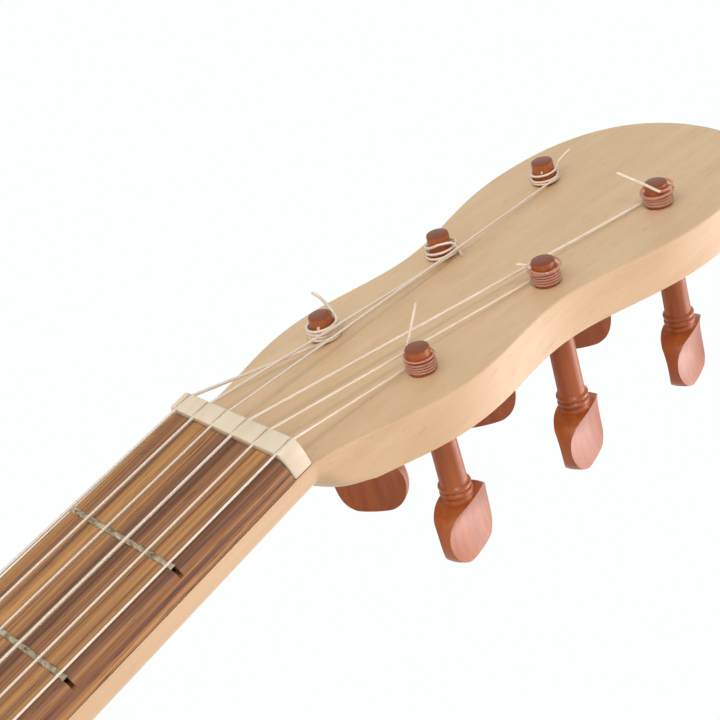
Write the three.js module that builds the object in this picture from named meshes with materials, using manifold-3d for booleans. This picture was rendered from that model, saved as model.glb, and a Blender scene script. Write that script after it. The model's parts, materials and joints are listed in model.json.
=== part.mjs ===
// Six-string guitar with a figure-of-eight peg head and friction pegs, on a low wooden floor stand.
//
// Units are millimetres. The object stands on z = 0 with +Z up and its front facing -Y.
// Everything on the guitar is built in the guitar's own frame, which then leans back as one group:
//   x  across the strings, + towards the treble side
//   y  from the string plane at the nut towards the back of the guitar
//   z  along the neck, 0 at the fingerboard end of the nut, + towards the peg head
import * as THREE from 'three';
import { mergeVertices } from 'three/addons/utils/BufferGeometryUtils.js';
import Module from 'manifold-3d';

const wasm = await Module();
wasm.setup();

// ---------------------------------------------------------------- driving dimensions

const SEAT = 0.2; // clearance that every glued or seated pair of faces keeps

const SCALE_LENGTH = 630;
const SADDLE_COMPENSATION = 1.5;
const BODY_FRET = 12; // the neck meets the body at this fret
const FRET_COUNT = 17; // that the board has room for
const METAL_FRETS = 12; // modelled as their own pieces, up to the body

const STRING_SPREAD_NUT = 41.2; // first to sixth string
const STRING_SPREAD_SADDLE = 56;
const STRING_GAP_NUT = 1.3; // string plane above the fingerboard at the nut
const STRING_GAP_SADDLE = 6.5; // the same above the fingerboard's plane, at the saddle
const STRING_DIAMETERS = [0.75, 0.85, 1.0, 0.8, 0.95, 1.15]; // strings 1 (treble) to 6 (bass)

const NUT_THICKNESS = 5.8;
const NUT_WIDTH = 47;
const NUT_RISE = 0.35; // its top above the string plane
const NUT_BREAK = 0.5; // drop of the strings across it
const NUT_END_ROUND = { across: 2, down: 5 };
const BOARD_WIDTH_AT_BODY = 54;
const BOARD_THICKNESS = 6.5;
const BOARD_EDGE_ROUND = { across: 3, down: 4.5 };
const BOARD_TAIL = 8; // board beyond the last fret

const FRET_CROWN_WIDTH = 2.2;
const FRET_CROWN_HEIGHT = 0.5;
const FRET_TANG_WIDTH = 0.6;
const FRET_TANG_DEPTH = 1.8;
const FRET_END_INSET = 2.2; // from the board's edge
const FRET_SLOT_DEPTH = 2.6;

const NECK_DEPTH_NUT = 13.2; // wood behind the fingerboard
const NECK_DEPTH_BODY = 18;
const HEEL_LENGTH = 26; // along the neck, at the shaft
const HEEL_LENGTH_CAP = 13;
const HEEL_SHOULDER = 8; // extra length where the heel runs into the shaft
const HEEL_WIDTH_CAP = 24;
const HEEL_CAP_THICKNESS = 3;

const HEAD_ANGLE = THREE.MathUtils.degToRad(11.4);
const HEAD_THICKNESS = 12.5;
const HEAD_LENGTH = 178.3;
const HEAD_BOUT_HALF = 33.8; // half widths of the outline: bout near the nut, waist, end bout
const HEAD_WAIST_HALF = 29.3;
const HEAD_END_HALF = 39.2;
const HEAD_BOUT_AT = 44; // where along the head each of them lies
const HEAD_WAIST_AT = 80;
const HEAD_END_AT = 131;
// Handles of the outline's curves: across at the end, along above and below each bout, at the root.
const HEAD_HANDLES = { end: 26, to: [29, 16, 14], from: [21, 13, 17], root: { widen: 1.8, along: 16 } };
const HEAD_ROOT = 14; // where the outline takes over from the shaft
// From the shaft to the head: [along the head, share of the change in depth, squareness].
const HEAD_BLEND = [[3.5, 0.3, 3.4], [6, 0.6, 6], [9, 0.9, 14], [12, 1, 28], [15, 1, 40]];
const HEAD_STEPS = 14; // along each curve of its outline

const PEG_SHANK_RADIUS = 3.6; // under the head, tapering to the tip
const PEG_TIP_RADIUS = 3.2;
const PEG_TIP_HEIGHT = 7; // above the face of the head
const PEG_TIP_ROUND = 0.5;
const PEG_TAPER = 0.15; // the shank at the face, wider than the tip
const PEG_BORE_CLEARANCE = 0.3;
const PEG_COLLAR_AT = 35; // below the face
const PEG_COLLAR_RADIUS = 4.4;
// Two turned rings: [along the collar, how much slimmer than its radius].
const PEG_COLLAR_RINGS = [[0, 0], [0.9, 0], [1.4, 0.5], [1.9, 0], [2.8, 0], [3.4, 0.4]];
const THUMB_AT = 4.4; // below the start of the collar
const THUMB_RADIUS = 11;
const THUMB_LENGTH = 18.5;
// Thumb piece between its scoops: [share of the length, share of the radius, half thickness].
const THUMB_ROWS = [
  [0, 0.39, 5.1], [0.024, 0.55, 4.8], [0.07, 0.76, 4.3], [0.14, 0.88, 3.5], [0.23, 0.95, 2.9],
  [0.36, 0.99, 2.5], [0.5, 1, 2.6], [0.64, 0.97, 2.9], [0.78, 0.87, 3.3], [0.89, 0.7, 3.7],
  [0.96, 0.47, 3.9], [1, 0.06, 3.9],
];
// Place of each string's peg on the head and the turn of its thumb piece in degrees, strings 1 to 6.
const PEG_ROWS = [{ x: 19, along: 41.3 }, { x: 20, along: 87.3 }, { x: 21.2, along: 133 }];
const PEG_TURNS = [18, 23, 23, -45, -40, -58];

const WINDING_FOOT = 0.9; // lowest turn above the face
const WINDING_TURNS = [7, 6, 5, 3, 3, 3];
const STRING_END_HEIGHT = 3; // where a string meets its winding, above the face
const LOOSE_END_RADIUS = 0.4;
// Loose string ends, relative to their pegs: [across, along the head, above its face].
const LOOSE_ENDS = [
  [[-2.9, -2.1, 4.6], [-3.8, -1.4, 7.2], [-3.4, 1.2, 10.6], [-2.6, 5.1, 15.8]],
  [[-1.9, -3.2, 4.6], [-2.8, -4.6, 6.2], [-3.8, -5.8, 6.9]],
  [[-1.4, -3.5, 4.4], [-3.6, -4.6, 7.6], [-6.1, -5.5, 10.5]],
  [[2.6, 2.6, 3.2], [3.6, 5, 5.6], [4.6, 7.5, 7.6]],
  [[3.6, 0.5, 1.7], [5.2, 1.6, 1.1], [5.9, 2, 0.8]],
  [[2.6, 2.6, 3.4], [2.3, 3.2, 7.2], [0.3, 3.4, 10.5], [-2.4, 1.7, 12.1]],
];

const BODY_LENGTH = 445;
const BODY_UPPER_HALF = 116; // half widths of the body's outline
const BODY_WAIST_HALF = 86;
const BODY_LOWER_HALF = 149;
const BODY_UPPER_AT = 85; // below the neck joint
const BODY_WAIST_AT = 186;
const BODY_LOWER_AT = 322;
const BODY_DEPTH_NECK = 78;
const BODY_DEPTH_TAIL = 88;
const SOUNDBOARD_THICKNESS = 2.5;
const BACK_THICKNESS = 2.5;
const RIB_THICKNESS = 2;
const BINDING_WIDTH = 2;
const BINDING_HEIGHT = 4.5;
const LINING_WIDTH = 5;
const LINING_HEIGHT = 12;
const NECK_BLOCK = { halfWidth: 32, length: 26 };
const TAIL_BLOCK = { halfWidth: 28, length: 15 };

const SOUNDHOLE_RADIUS = 42;
const SOUNDHOLE_AT = 149; // below the neck joint
const FRONT_BARS_AT = [80, 203, 262]; // below the neck joint
const BACK_BARS_AT = [120, 270];
const BAR = { width: 6, height: 14, endHeight: 5 };

const BRIDGE_BLOCK = { halfLength: 43, width: 27, height: 9, ahead: 6 }; // ahead of the saddle
const BRIDGE_WING = { halfLength: 88, thickness: 4, width: 13, tipRise: 4 };
const WING_BEND = { lowerIn: 14, lowerDrop: 2, upperIn: 22, upperDrop: 3 }; // handles near the tip
const SADDLE_WIDTH = 2.6;
const SADDLE_HALF_LENGTH = 36;
const SADDLE_SLOT_DEPTH = 4;
const TIE_BLOCK_WIDTH = 10; // at the back of the bridge, where the strings are tied
const TROUGH_DEPTH = 4.5; // between the saddle and the tie block
const TROUGH_WALL = 1.5; // wood behind the saddle's slot
const TIE_HOLE_DEPTH = 2.8; // below the top of the tie block
const STRING_TAIL = 5; // behind the tie block
const BUTTON = { radius: 6.5, neck: 3.4, height: 10, rim: 2 };

const LEAN = THREE.MathUtils.degToRad(14);
const TAIL_PLACE = { y: -131, z: 98.6 }; // floor-plan y and height of the end of the body

const SIDE_BOARD = { at: 92, thickness: 18 };
const PAD_THICKNESS = 5;
const ARM_PAD_SETBACK = 1; // from the front lip
const REST_TOP_AT = 240; // below the neck joint, the top of the back rest
const BACK_PAD_LENGTH = 80;
const BACK_PAD_SETBACK = 4; // below the top of the back rest
const UPRIGHT_DEPTH = 42;
const LIP = { clearance: 5, thickness: 16, height: 30, toe: 34 };
const REAR_FOOT_AT = 107.9; // behind the origin
const FOOT_HEIGHT = 34;
const RAIL = { thickness: 15, height: 44, overhang: 22, frontAt: -85.1, rearAt: 54.9 };

// ---------------------------------------------------------------- derived places

const fretZ = (n) => -SCALE_LENGTH * (1 - 2 ** (-n / 12));
const BODY_TOP = fretZ(BODY_FRET);
const BODY_END = BODY_TOP - BODY_LENGTH;
const SADDLE_Z = -SCALE_LENGTH - SADDLE_COMPENSATION;
const GUITAR_Y = TAIL_PLACE.y - BODY_END * Math.sin(LEAN); // where the guitar's frame stands
const GUITAR_Z = TAIL_PLACE.z - BODY_END * Math.cos(LEAN);
const BOARD_TOP = STRING_GAP_NUT;
const BOARD_BOTTOM = BOARD_TOP + BOARD_THICKNESS;
const NECK_TOP = BOARD_BOTTOM + SEAT; // also the front of the soundboard and the root of the face
const BOARD_END = fretZ(FRET_COUNT) - BOARD_TAIL;
const SOUNDHOLE_Z = BODY_TOP - SOUNDHOLE_AT;

const STRINGS = [1, 2, 3, 4, 5, 6];
const FRETS = Array.from({ length: METAL_FRETS }, (_, k) => k + 1);
const PEG_FACE_RADIUS = PEG_TIP_RADIUS + PEG_TAPER;
const PEG_PLACES = [...PEG_ROWS, ...PEG_ROWS.map(({ x, along }) => ({ x: -x, along })).reverse()];

const mix = THREE.MathUtils.lerp;
const constant = (value) => () => value;
const boardHalfWidth = (z) => mix(NUT_WIDTH, BOARD_WIDTH_AT_BODY, z / BODY_TOP) / 2;
const neckDepth = (z) => mix(NECK_DEPTH_NUT, NECK_DEPTH_BODY, Math.max(0, z / BODY_TOP));
const stringY = (z) => -(STRING_GAP_SADDLE - STRING_GAP_NUT) * Math.max(0, z / SADDLE_Z);
const backOuter = (z) =>
  NECK_TOP + mix(BODY_DEPTH_NECK, BODY_DEPTH_TAIL, (BODY_TOP - z) / BODY_LENGTH);
const backInner = (z) => backOuter(z) - BACK_THICKNESS;
const SOUNDBOARD_BACK = NECK_TOP + SOUNDBOARD_THICKNESS;
const HEEL_END = backOuter(BODY_TOP) - HEEL_CAP_THICKNESS - SEAT;

/** Sideways place of string n (1 treble to 6 bass) at height z along the scale. */
function stringX(n, z) {
  const spread = mix(STRING_SPREAD_NUT, STRING_SPREAD_SADDLE, Math.max(0, z / SADDLE_Z));
  return (spread * (3.5 - n)) / 5;
}

// ---------------------------------------------------------------- materials

const finish = (color, roughness, metalness = 0) =>
  new THREE.MeshStandardMaterial({ color, roughness, metalness });
const MAPLE = finish(0xe3bf92, 0.5);
const SPRUCE = finish(0xe6cd9b, 0.5);
const WALNUT = finish(0x7d573a, 0.55);
const DARK_WOOD = finish(0x4a2c1c, 0.5);
const PEG_WOOD = finish(0x8e4a30, 0.4);
const BONE = finish(0xe3d8bb, 0.4);
const FRET_METAL = finish(0xa89a78, 0.3, 1);
const NYLON = finish(0xe9dcc8, 0.25);
const WOUND_METAL = finish(0xc9c6c2, 0.35, 1);
const INNER_WOOD = finish(0xd8bb8b, 0.7);
const STAND_WOOD = finish(0xb98a58, 0.5);
const CORK = finish(0xb08a5e, 0.9);

// ---------------------------------------------------------------- solid helpers

/** Merges a closed geometry's corners, drops its empty triangles and turns its faces outward. */
function solid(geometry) {
  const bare = geometry.clone();
  for (const name of Object.keys(bare.attributes)) {
    if (name !== 'position') bare.deleteAttribute(name);
  }
  const merged = mergeVertices(bare, 1e-5);
  const p = merged.attributes.position;
  const index = [];
  for (let i = 0; i < merged.index.count; i += 3) {
    const corners = [0, 1, 2].map((k) => merged.index.getX(i + k));
    if (new Set(corners).size === 3) index.push(...corners);
  }
  const [a, b, c] = [new THREE.Vector3(), new THREE.Vector3(), new THREE.Vector3()];
  let volume = 0;
  for (let i = 0; i < index.length; i += 3) {
    a.fromBufferAttribute(p, index[i]);
    b.fromBufferAttribute(p, index[i + 1]);
    c.fromBufferAttribute(p, index[i + 2]);
    volume += a.dot(b.cross(c));
  }
  if (volume < 0) {
    for (let i = 0; i < index.length; i += 3) {
      [index[i], index[i + 1]] = [index[i + 1], index[i]];
    }
  }
  merged.setIndex(index);
  return merged;
}

function toManifold(geometry) {
  const closed = solid(geometry);
  return new wasm.Manifold(new wasm.Mesh({
    numProp: 3,
    vertProperties: new Float32Array(closed.attributes.position.array),
    triVerts: new Uint32Array(closed.index.array),
  }));
}

function fromManifold(body) {
  const mesh = body.getMesh();
  const geometry = new THREE.BufferGeometry();
  geometry.setAttribute('position', new THREE.BufferAttribute(mesh.vertProperties, 3));
  geometry.setIndex(new THREE.BufferAttribute(mesh.triVerts, 1));
  return geometry;
}

const cut = (geometry, ...tools) =>
  fromManifold(tools.reduce((body, tool) => body.subtract(toManifold(tool)), toManifold(geometry)));

const join = (...pieces) =>
  fromManifold(pieces.map(toManifold).reduce((body, piece) => body.add(piece)));

/** Skins a row of convex rings, each with the same number of Vector3 points, and caps both ends. */
function loft(rings) {
  const count = rings[0].length;
  const positions = rings.flat().flatMap((v) => [v.x, v.y, v.z]);
  const index = [];
  for (let r = 0; r + 1 < rings.length; r++) {
    for (let k = 0; k < count; k++) {
      const [a, b] = [r * count + k, r * count + ((k + 1) % count)];
      index.push(a, b, a + count, b, b + count, a + count);
    }
  }
  const last = (rings.length - 1) * count;
  for (let k = 1; k + 1 < count; k++) {
    index.push(0, k + 1, k, last, last + k, last + k + 1);
  }
  const geometry = new THREE.BufferGeometry();
  geometry.setAttribute('position', new THREE.Float32BufferAttribute(positions, 3));
  geometry.setIndex(index);
  return solid(geometry);
}

/** A plate whose outline lies in x and z, between the faces y = front(z) and y = back(z). */
function plate(outline, front, back, hole = null) {
  const clockwise = THREE.ShapeUtils.isClockWise(outline);
  const shape = new THREE.Shape(clockwise ? [...outline].reverse() : outline);
  if (hole) shape.holes.push(new THREE.Path(hole));
  const geometry = new THREE.ExtrudeGeometry(shape, { depth: 1, steps: 1, bevelEnabled: false });
  geometry.rotateX(Math.PI / 2);
  const p = geometry.attributes.position;
  for (let i = 0; i < p.count; i++) {
    const z = p.getZ(i);
    p.setY(i, p.getY(i) < -0.5 ? front(z) : back(z));
  }
  return solid(geometry);
}

/** A prism whose outline lies in y and z, centred on x = at. */
function slab(outline, at, thickness) {
  const shape = outline instanceof THREE.Shape ? outline : new THREE.Shape(outline);
  const geometry = new THREE.ExtrudeGeometry(shape, {
    depth: thickness, steps: 1, bevelEnabled: false, curveSegments: 8,
  });
  const [x, y, z] = [new THREE.Vector3(1, 0, 0), new THREE.Vector3(0, 1, 0), new THREE.Vector3(0, 0, 1)];
  geometry.applyMatrix4(new THREE.Matrix4().makeBasis(y, z, x));
  geometry.translate(at - thickness / 2, 0, 0);
  return solid(geometry);
}

const box = (x, y, z, at) => solid(new THREE.BoxGeometry(x, y, z).translate(...at));

const point = (x, z) => new THREE.Vector2(x, z);

/** A turned piece: profile rows are [distance along +z, radius], starting and ending at radius 0. */
function turned(profile, segments) {
  const points = profile.map(([along, radius]) => point(radius, along));
  return solid(new THREE.LatheGeometry(points, segments).rotateX(Math.PI / 2));
}

/** Ring of a round bar in the plane across z. */
function barRing(centre, radius, sides) {
  return Array.from({ length: sides }, (_, k) => {
    const angle = (2 * Math.PI * k) / sides;
    return new THREE.Vector3(
      centre.x + radius * Math.cos(angle), centre.y + radius * Math.sin(angle), centre.z);
  });
}

/** Round bar along a path of Vector3 points, its rings turned square to the path. */
function wire(path, radius, sides) {
  const curve = new THREE.CatmullRomCurve3(path, false, 'centripetal');
  const section = new THREE.Shape(
    new THREE.Path().absarc(0, 0, radius, 0, 2 * Math.PI).getSpacedPoints(sides).slice(0, sides));
  const steps = 4 * (path.length - 1);
  return solid(new THREE.ExtrudeGeometry(section, { steps, bevelEnabled: false, extrudePath: curve }));
}

// ---------------------------------------------------------------- outlines

/** Points along cubic curves, moved towards the inside; the curves run clockwise from +z. */
function sampleHalf(curves, inset, steps) {
  return curves.flatMap((curve, index) => {
    const points = [];
    for (let k = index === 0 ? 0 : 1; k <= steps; k++) {
      const [p, t] = [curve.getPoint(k / steps), curve.getTangent(k / steps)];
      points.push(point(p.x + inset * t.y, p.y - inset * t.x));
    }
    return points;
  });
}

/** Half outline from top through the bouts to end; at each bout its handles run along z. */
function boutCurves(top, bouts, end, handles) {
  const stops = [top, ...bouts, end];
  return stops.slice(1).map((stop, k) => {
    const start = stops[k];
    const from = k === 0 ? handles.top : point(start.x, start.y - handles.from[k - 1]);
    const to = k === bouts.length ? handles.end : point(stop.x, stop.y + handles.to[k]);
    return new THREE.CubicBezierCurve(start, from, to, stop);
  });
}

const BODY_CURVES = boutCurves(
  point(0, BODY_TOP),
  [
    point(BODY_UPPER_HALF, BODY_TOP - BODY_UPPER_AT),
    point(BODY_WAIST_HALF, BODY_TOP - BODY_WAIST_AT),
    point(BODY_LOWER_HALF, BODY_TOP - BODY_LOWER_AT),
  ],
  point(0, BODY_END),
  {
    top: point(0.62 * BODY_UPPER_HALF, BODY_TOP),
    end: point(0.6 * BODY_LOWER_HALF, BODY_END),
    to: [
      0.52 * BODY_UPPER_AT,
      0.42 * (BODY_WAIST_AT - BODY_UPPER_AT),
      0.48 * (BODY_LOWER_AT - BODY_WAIST_AT),
    ],
    from: [
      0.42 * (BODY_WAIST_AT - BODY_UPPER_AT),
      0.44 * (BODY_LOWER_AT - BODY_WAIST_AT),
      0.56 * (BODY_LENGTH - BODY_LOWER_AT),
    ],
  },
);
const BODY_STEPS = 14;

const halfBody = (inset) => sampleHalf(BODY_CURVES, inset, BODY_STEPS);
const mirrored = (points) => points.map((p) => point(-p.x, p.y));

/** The whole outline of the body, moved inwards by inset. */
function bodyOutline(inset) {
  const half = halfBody(inset);
  return [...half, ...mirrored(half).reverse().slice(1, -1)];
}

/** Half width of the body at height z, inset from its outline. */
function bodyHalfWidth(z, inset) {
  const half = halfBody(inset);
  const k = half.findIndex((p) => p.y <= z);
  const [a, b] = [half[k - 1], half[k]];
  return mix(a.x, b.x, (a.y - z) / (a.y - b.y));
}

/** Height of the body's upper or lower edge at sideways place x, inset from its outline. */
function bodyEdge(x, inset, isTop) {
  const half = halfBody(inset);
  const run = isTop ? half.filter((p) => p.y > BODY_TOP - BODY_UPPER_AT)
    : half.filter((p) => p.y < BODY_TOP - BODY_LOWER_AT).reverse();
  const k = run.findIndex((p) => p.x >= x);
  const [a, b] = [run[Math.max(k - 1, 0)], run[Math.max(k, 1)]];
  return mix(a.y, b.y, (x - a.x) / (b.x - a.x));
}

// ---------------------------------------------------------------- the body

function soundboard() {
  const inset = BINDING_WIDTH + SEAT;
  const hole = new THREE.Path().absarc(0, SOUNDHOLE_Z, SOUNDHOLE_RADIUS, 0, 2 * Math.PI).getPoints(40);
  return plate(bodyOutline(inset), constant(NECK_TOP), constant(SOUNDBOARD_BACK), hole.slice(0, -1));
}

function backPlate() {
  return plate(bodyOutline(BINDING_WIDTH + SEAT), backInner, backOuter);
}

/** One side of the body, bent from a strip that meets the other at both ends. */
function rib(side) {
  const front = NECK_TOP + BINDING_HEIGHT + SEAT;
  const back = (z) => backOuter(z) - BINDING_HEIGHT - SEAT;
  const outline = [...halfBody(0), ...halfBody(RIB_THICKNESS).reverse()];
  return plate(outline.map((p) => point(side * Math.max(p.x, SEAT / 2), p.y)), constant(front), back);
}

function binding(isFront) {
  const front = isFront ? constant(NECK_TOP) : (z) => backOuter(z) - BINDING_HEIGHT;
  const back = isFront ? constant(NECK_TOP + BINDING_HEIGHT) : backOuter;
  return plate(bodyOutline(0), front, back, bodyOutline(BINDING_WIDTH));
}

/** Glue strip round the inside of the ribs; with clearance, the notch that it needs in a block. */
function lining(isFront, clearance = 0) {
  const outer = RIB_THICKNESS + SEAT - clearance;
  const inner = RIB_THICKNESS + SEAT + LINING_WIDTH + clearance;
  const near = clearance > 0 ? 2 * SEAT : 0; // the notch opens towards the plate
  const front = isFront ? constant(SOUNDBOARD_BACK + SEAT - near)
    : (z) => backInner(z) - SEAT - LINING_HEIGHT - clearance;
  const back = isFront ? constant(SOUNDBOARD_BACK + SEAT + LINING_HEIGHT + clearance)
    : (z) => backInner(z) - SEAT + near;
  return plate(bodyOutline(outer), front, back, bodyOutline(inner));
}

/** A block inside the end of the body that follows the ribs' curve, notched for the linings. */
function endBlock(isNeck) {
  const { halfWidth, length } = isNeck ? NECK_BLOCK : TAIL_BLOCK;
  const inset = RIB_THICKNESS + SEAT;
  const flat = isNeck ? BODY_TOP - length : BODY_END + length;
  const places = [-1, -0.75, -0.5, -0.25, 0, 0.25, 0.5, 0.75, 1].map((share) => share * halfWidth);
  const curve = places.map((x) => point(x, bodyEdge(Math.abs(x), inset, isNeck)));
  const block = plate([...curve, point(halfWidth, flat), point(-halfWidth, flat)],
    constant(SOUNDBOARD_BACK + SEAT), (z) => backInner(z) - SEAT);
  return cut(block, lining(true, SEAT), lining(false, SEAT));
}

/** Cross bar glued under the soundboard or on the back, lower at its ends. */
function bar(below, isFront) {
  const [z, inset] = [BODY_TOP - below, RIB_THICKNESS + LINING_WIDTH + 2 * SEAT];
  const edges = [z - BAR.width / 2, z + BAR.width / 2];
  const half = Math.min(...edges.map((at) => bodyHalfWidth(at, inset)));
  const root = isFront ? SOUNDBOARD_BACK + SEAT : backInner(edges[1]) - SEAT;
  const into = isFront ? 1 : -1;
  const outline = [
    [-half, 0], [half, 0], [half, BAR.endHeight], [half * 0.72, BAR.height],
    [-half * 0.72, BAR.height], [-half, BAR.endHeight],
  ].map(([x, y]) => new THREE.Vector3(x, root + into * y, 0));
  return loft(edges.map((at) => outline.map((v) => v.clone().setZ(at))));
}

// ---------------------------------------------------------------- the bridge

const BRIDGE_BOTTOM = NECK_TOP - SEAT;
const BRIDGE_TOP = BRIDGE_BOTTOM - BRIDGE_BLOCK.height;
const BRIDGE_FRONT_Z = SADDLE_Z + BRIDGE_BLOCK.ahead;
const BRIDGE_BACK_Z = BRIDGE_FRONT_Z - BRIDGE_BLOCK.width;
const TIE_FACE_Z = BRIDGE_BACK_Z + TIE_BLOCK_WIDTH;
const TIE_HOLE_Y = BRIDGE_TOP + TIE_HOLE_DEPTH;

/** Tie bridge: saddle slot, trough and tie block with a hole for each string, and thin curved wings. */
function bridge() {
  const middle = (BRIDGE_FRONT_Z + BRIDGE_BACK_Z) / 2;
  const block = box(2 * BRIDGE_BLOCK.halfLength, BRIDGE_BLOCK.height, BRIDGE_BLOCK.width,
    [0, BRIDGE_BOTTOM - BRIDGE_BLOCK.height / 2, middle]);
  const [root, tip, half] = [BRIDGE_BLOCK.halfLength, BRIDGE_WING.halfLength, BRIDGE_WING.width / 2];
  const wing = new THREE.Shape();
  const [low, high] = [middle - half, middle + half];
  const { lowerIn, lowerDrop, upperIn, upperDrop } = WING_BEND;
  wing.moveTo(-root, low);
  wing.lineTo(root, low);
  wing.quadraticCurveTo(tip - lowerIn, low - lowerDrop, tip, high + BRIDGE_WING.tipRise);
  wing.quadraticCurveTo(tip - upperIn, high - upperDrop, root, high);
  wing.lineTo(-root, high);
  wing.quadraticCurveTo(-tip + upperIn, high - upperDrop, -tip, high + BRIDGE_WING.tipRise);
  wing.quadraticCurveTo(-tip + lowerIn, low - lowerDrop, -root, low);
  const wings = plate(wing.getPoints(6).slice(0, -1),
    constant(BRIDGE_BOTTOM - BRIDGE_WING.thickness), constant(BRIDGE_BOTTOM));
  const slot = box(2 * (SADDLE_HALF_LENGTH + SEAT), 2 * SADDLE_SLOT_DEPTH, SADDLE_WIDTH + 2 * SEAT,
    [0, BRIDGE_TOP, SADDLE_Z]);
  const troughFront = SADDLE_Z - SADDLE_WIDTH / 2 - TROUGH_WALL;
  const trough = box(3 * root, 2 * TROUGH_DEPTH, troughFront - TIE_FACE_Z,
    [0, BRIDGE_TOP, (troughFront + TIE_FACE_Z) / 2]);
  const holes = STRINGS.map((n) => {
    const size = STRING_DIAMETERS[n - 1] + 2 * SEAT;
    return box(size, size, 3 * TIE_BLOCK_WIDTH, [stringX(n, SADDLE_Z), TIE_HOLE_Y, BRIDGE_BACK_Z]);
  });
  return cut(join(block, wings), slot, trough, ...holes);
}

function saddle() {
  const bottom = BRIDGE_TOP + SADDLE_SLOT_DEPTH - SEAT;
  const top = stringY(SADDLE_Z) + STRING_DIAMETERS[5] / 2 + SEAT;
  return box(2 * SADDLE_HALF_LENGTH, bottom - top, SADDLE_WIDTH, [0, (bottom + top) / 2, SADDLE_Z]);
}

/** Strap button on the seam of the ribs. */
function endButton() {
  const { radius, neck, height, rim } = BUTTON;
  const profile = [
    [0, 0], [0, radius * 0.75], [rim, radius], [2 * rim, radius],
    [height - rim, neck], [height, radius * 0.8], [height, 0],
  ];
  const middle = (NECK_TOP + backOuter(BODY_END)) / 2;
  return turned(profile, 20).translate(0, middle, BODY_END - height - SEAT);
}

// ---------------------------------------------------------------- neck, head and fingerboard

// The head's own frame: x across, y along the head, z above its face, 0 at the back of the nut.
const HEAD_PLACE = new THREE.Matrix4()
  .makeRotationX(Math.PI / 2 - HEAD_ANGLE)
  .setPosition(0, NECK_TOP, NUT_THICKNESS);
const onHead = (x, along, above) => new THREE.Vector3(x, along, above).applyMatrix4(HEAD_PLACE);

const HEAD_CURVES = boutCurves(
  point(0, HEAD_LENGTH),
  [
    point(HEAD_END_HALF, HEAD_END_AT),
    point(HEAD_WAIST_HALF, HEAD_WAIST_AT),
    point(HEAD_BOUT_HALF, HEAD_BOUT_AT),
  ],
  point(NUT_WIDTH / 2, 0),
  {
    ...HEAD_HANDLES,
    top: point(HEAD_HANDLES.end, HEAD_LENGTH),
    end: point(NUT_WIDTH / 2 + HEAD_HANDLES.root.widen, HEAD_HANDLES.root.along),
  },
);

const halfHead = () => sampleHalf(HEAD_CURVES, 0, HEAD_STEPS);

function headHalfWidth(along) {
  const half = halfHead();
  const k = half.findIndex((p) => p.y <= along);
  const [a, b] = [half[k - 1], half[k]];
  return mix(a.x, b.x, (a.y - along) / (a.y - b.y));
}

/** Half of a closed neck section as [x, depth] rows; a high power makes it squarer. */
function neckSection(halfWidth, depth, power) {
  const steps = 20;
  return Array.from({ length: steps + 1 }, (_, k) => {
    const angle = (Math.PI * k) / steps;
    const [c, s] = [Math.cos(angle), Math.sin(angle)];
    return [-halfWidth * Math.sign(c) * Math.abs(c) ** (2 / power), depth * s ** (2 / power)];
  });
}

/** A heel's ring across y: flat against the ribs and round towards the head. */
function heelRing(y, halfWidth, length) {
  return neckSection(halfWidth, length, 2).map(([x, out]) => new THREE.Vector3(x, y, BODY_TOP + SEAT + out));
}

/** Neck shaft, heel and peg head, carved from one piece of wood. */
function neckAndHead() {
  const onNeck = (z) => neckSection(boardHalfWidth(z), neckDepth(z), 2.2)
    .map(([x, depth]) => new THREE.Vector3(x, NECK_TOP + depth, z));
  const onFace = (along, depth, power) => neckSection(headHalfWidth(along), depth, power)
    .map(([x, below]) => onHead(x, along, -below));
  const shaft = loft([
    ...[BODY_TOP + SEAT, BODY_TOP / 2, 0, NUT_THICKNESS].map(onNeck),
    ...HEAD_BLEND.map(([along, share, squareness]) =>
      onFace(along, mix(NECK_DEPTH_NUT, HEAD_THICKNESS, share), squareness)),
  ]);
  const half = [...halfHead().filter((p) => p.y > HEAD_ROOT), point(headHalfWidth(HEAD_ROOT), HEAD_ROOT)];
  const outline = new THREE.Shape([...half, ...mirrored(half).reverse().slice(0, -1)]);
  const head = new THREE.ExtrudeGeometry(outline, { depth: HEAD_THICKNESS, steps: 1, bevelEnabled: false });
  head.translate(0, 0, -HEAD_THICKNESS).applyMatrix4(HEAD_PLACE);
  const bores = PEG_PLACES.map(({ x, along }) => {
    const radius = PEG_SHANK_RADIUS + PEG_BORE_CLEARANCE;
    return new THREE.CylinderGeometry(radius, radius, 4 * HEAD_THICKNESS, 24)
      .rotateX(Math.PI / 2).translate(x, along, 0).applyMatrix4(HEAD_PLACE);
  });
  const shaftWidth = boardHalfWidth(BODY_TOP);
  const heel = loft([
    heelRing(NECK_TOP + 0.4 * NECK_DEPTH_BODY, 0.8 * shaftWidth, HEEL_LENGTH + HEEL_SHOULDER),
    heelRing(NECK_TOP + 1.4 * NECK_DEPTH_BODY, 0.7 * shaftWidth, HEEL_LENGTH),
    heelRing(NECK_TOP + 2.4 * NECK_DEPTH_BODY, mix(shaftWidth * 0.7, HEEL_WIDTH_CAP / 2, 0.7),
      mix(HEEL_LENGTH, HEEL_LENGTH_CAP, 0.7)),
    heelRing(HEEL_END, HEEL_WIDTH_CAP / 2, HEEL_LENGTH_CAP),
  ]);
  return cut(join(shaft, head, heel), ...bores);
}

function heelCap() {
  return loft([HEEL_END + SEAT, HEEL_END + SEAT + HEEL_CAP_THICKNESS]
    .map((y) => heelRing(y, HEEL_WIDTH_CAP / 2, HEEL_LENGTH_CAP)));
}

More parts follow.
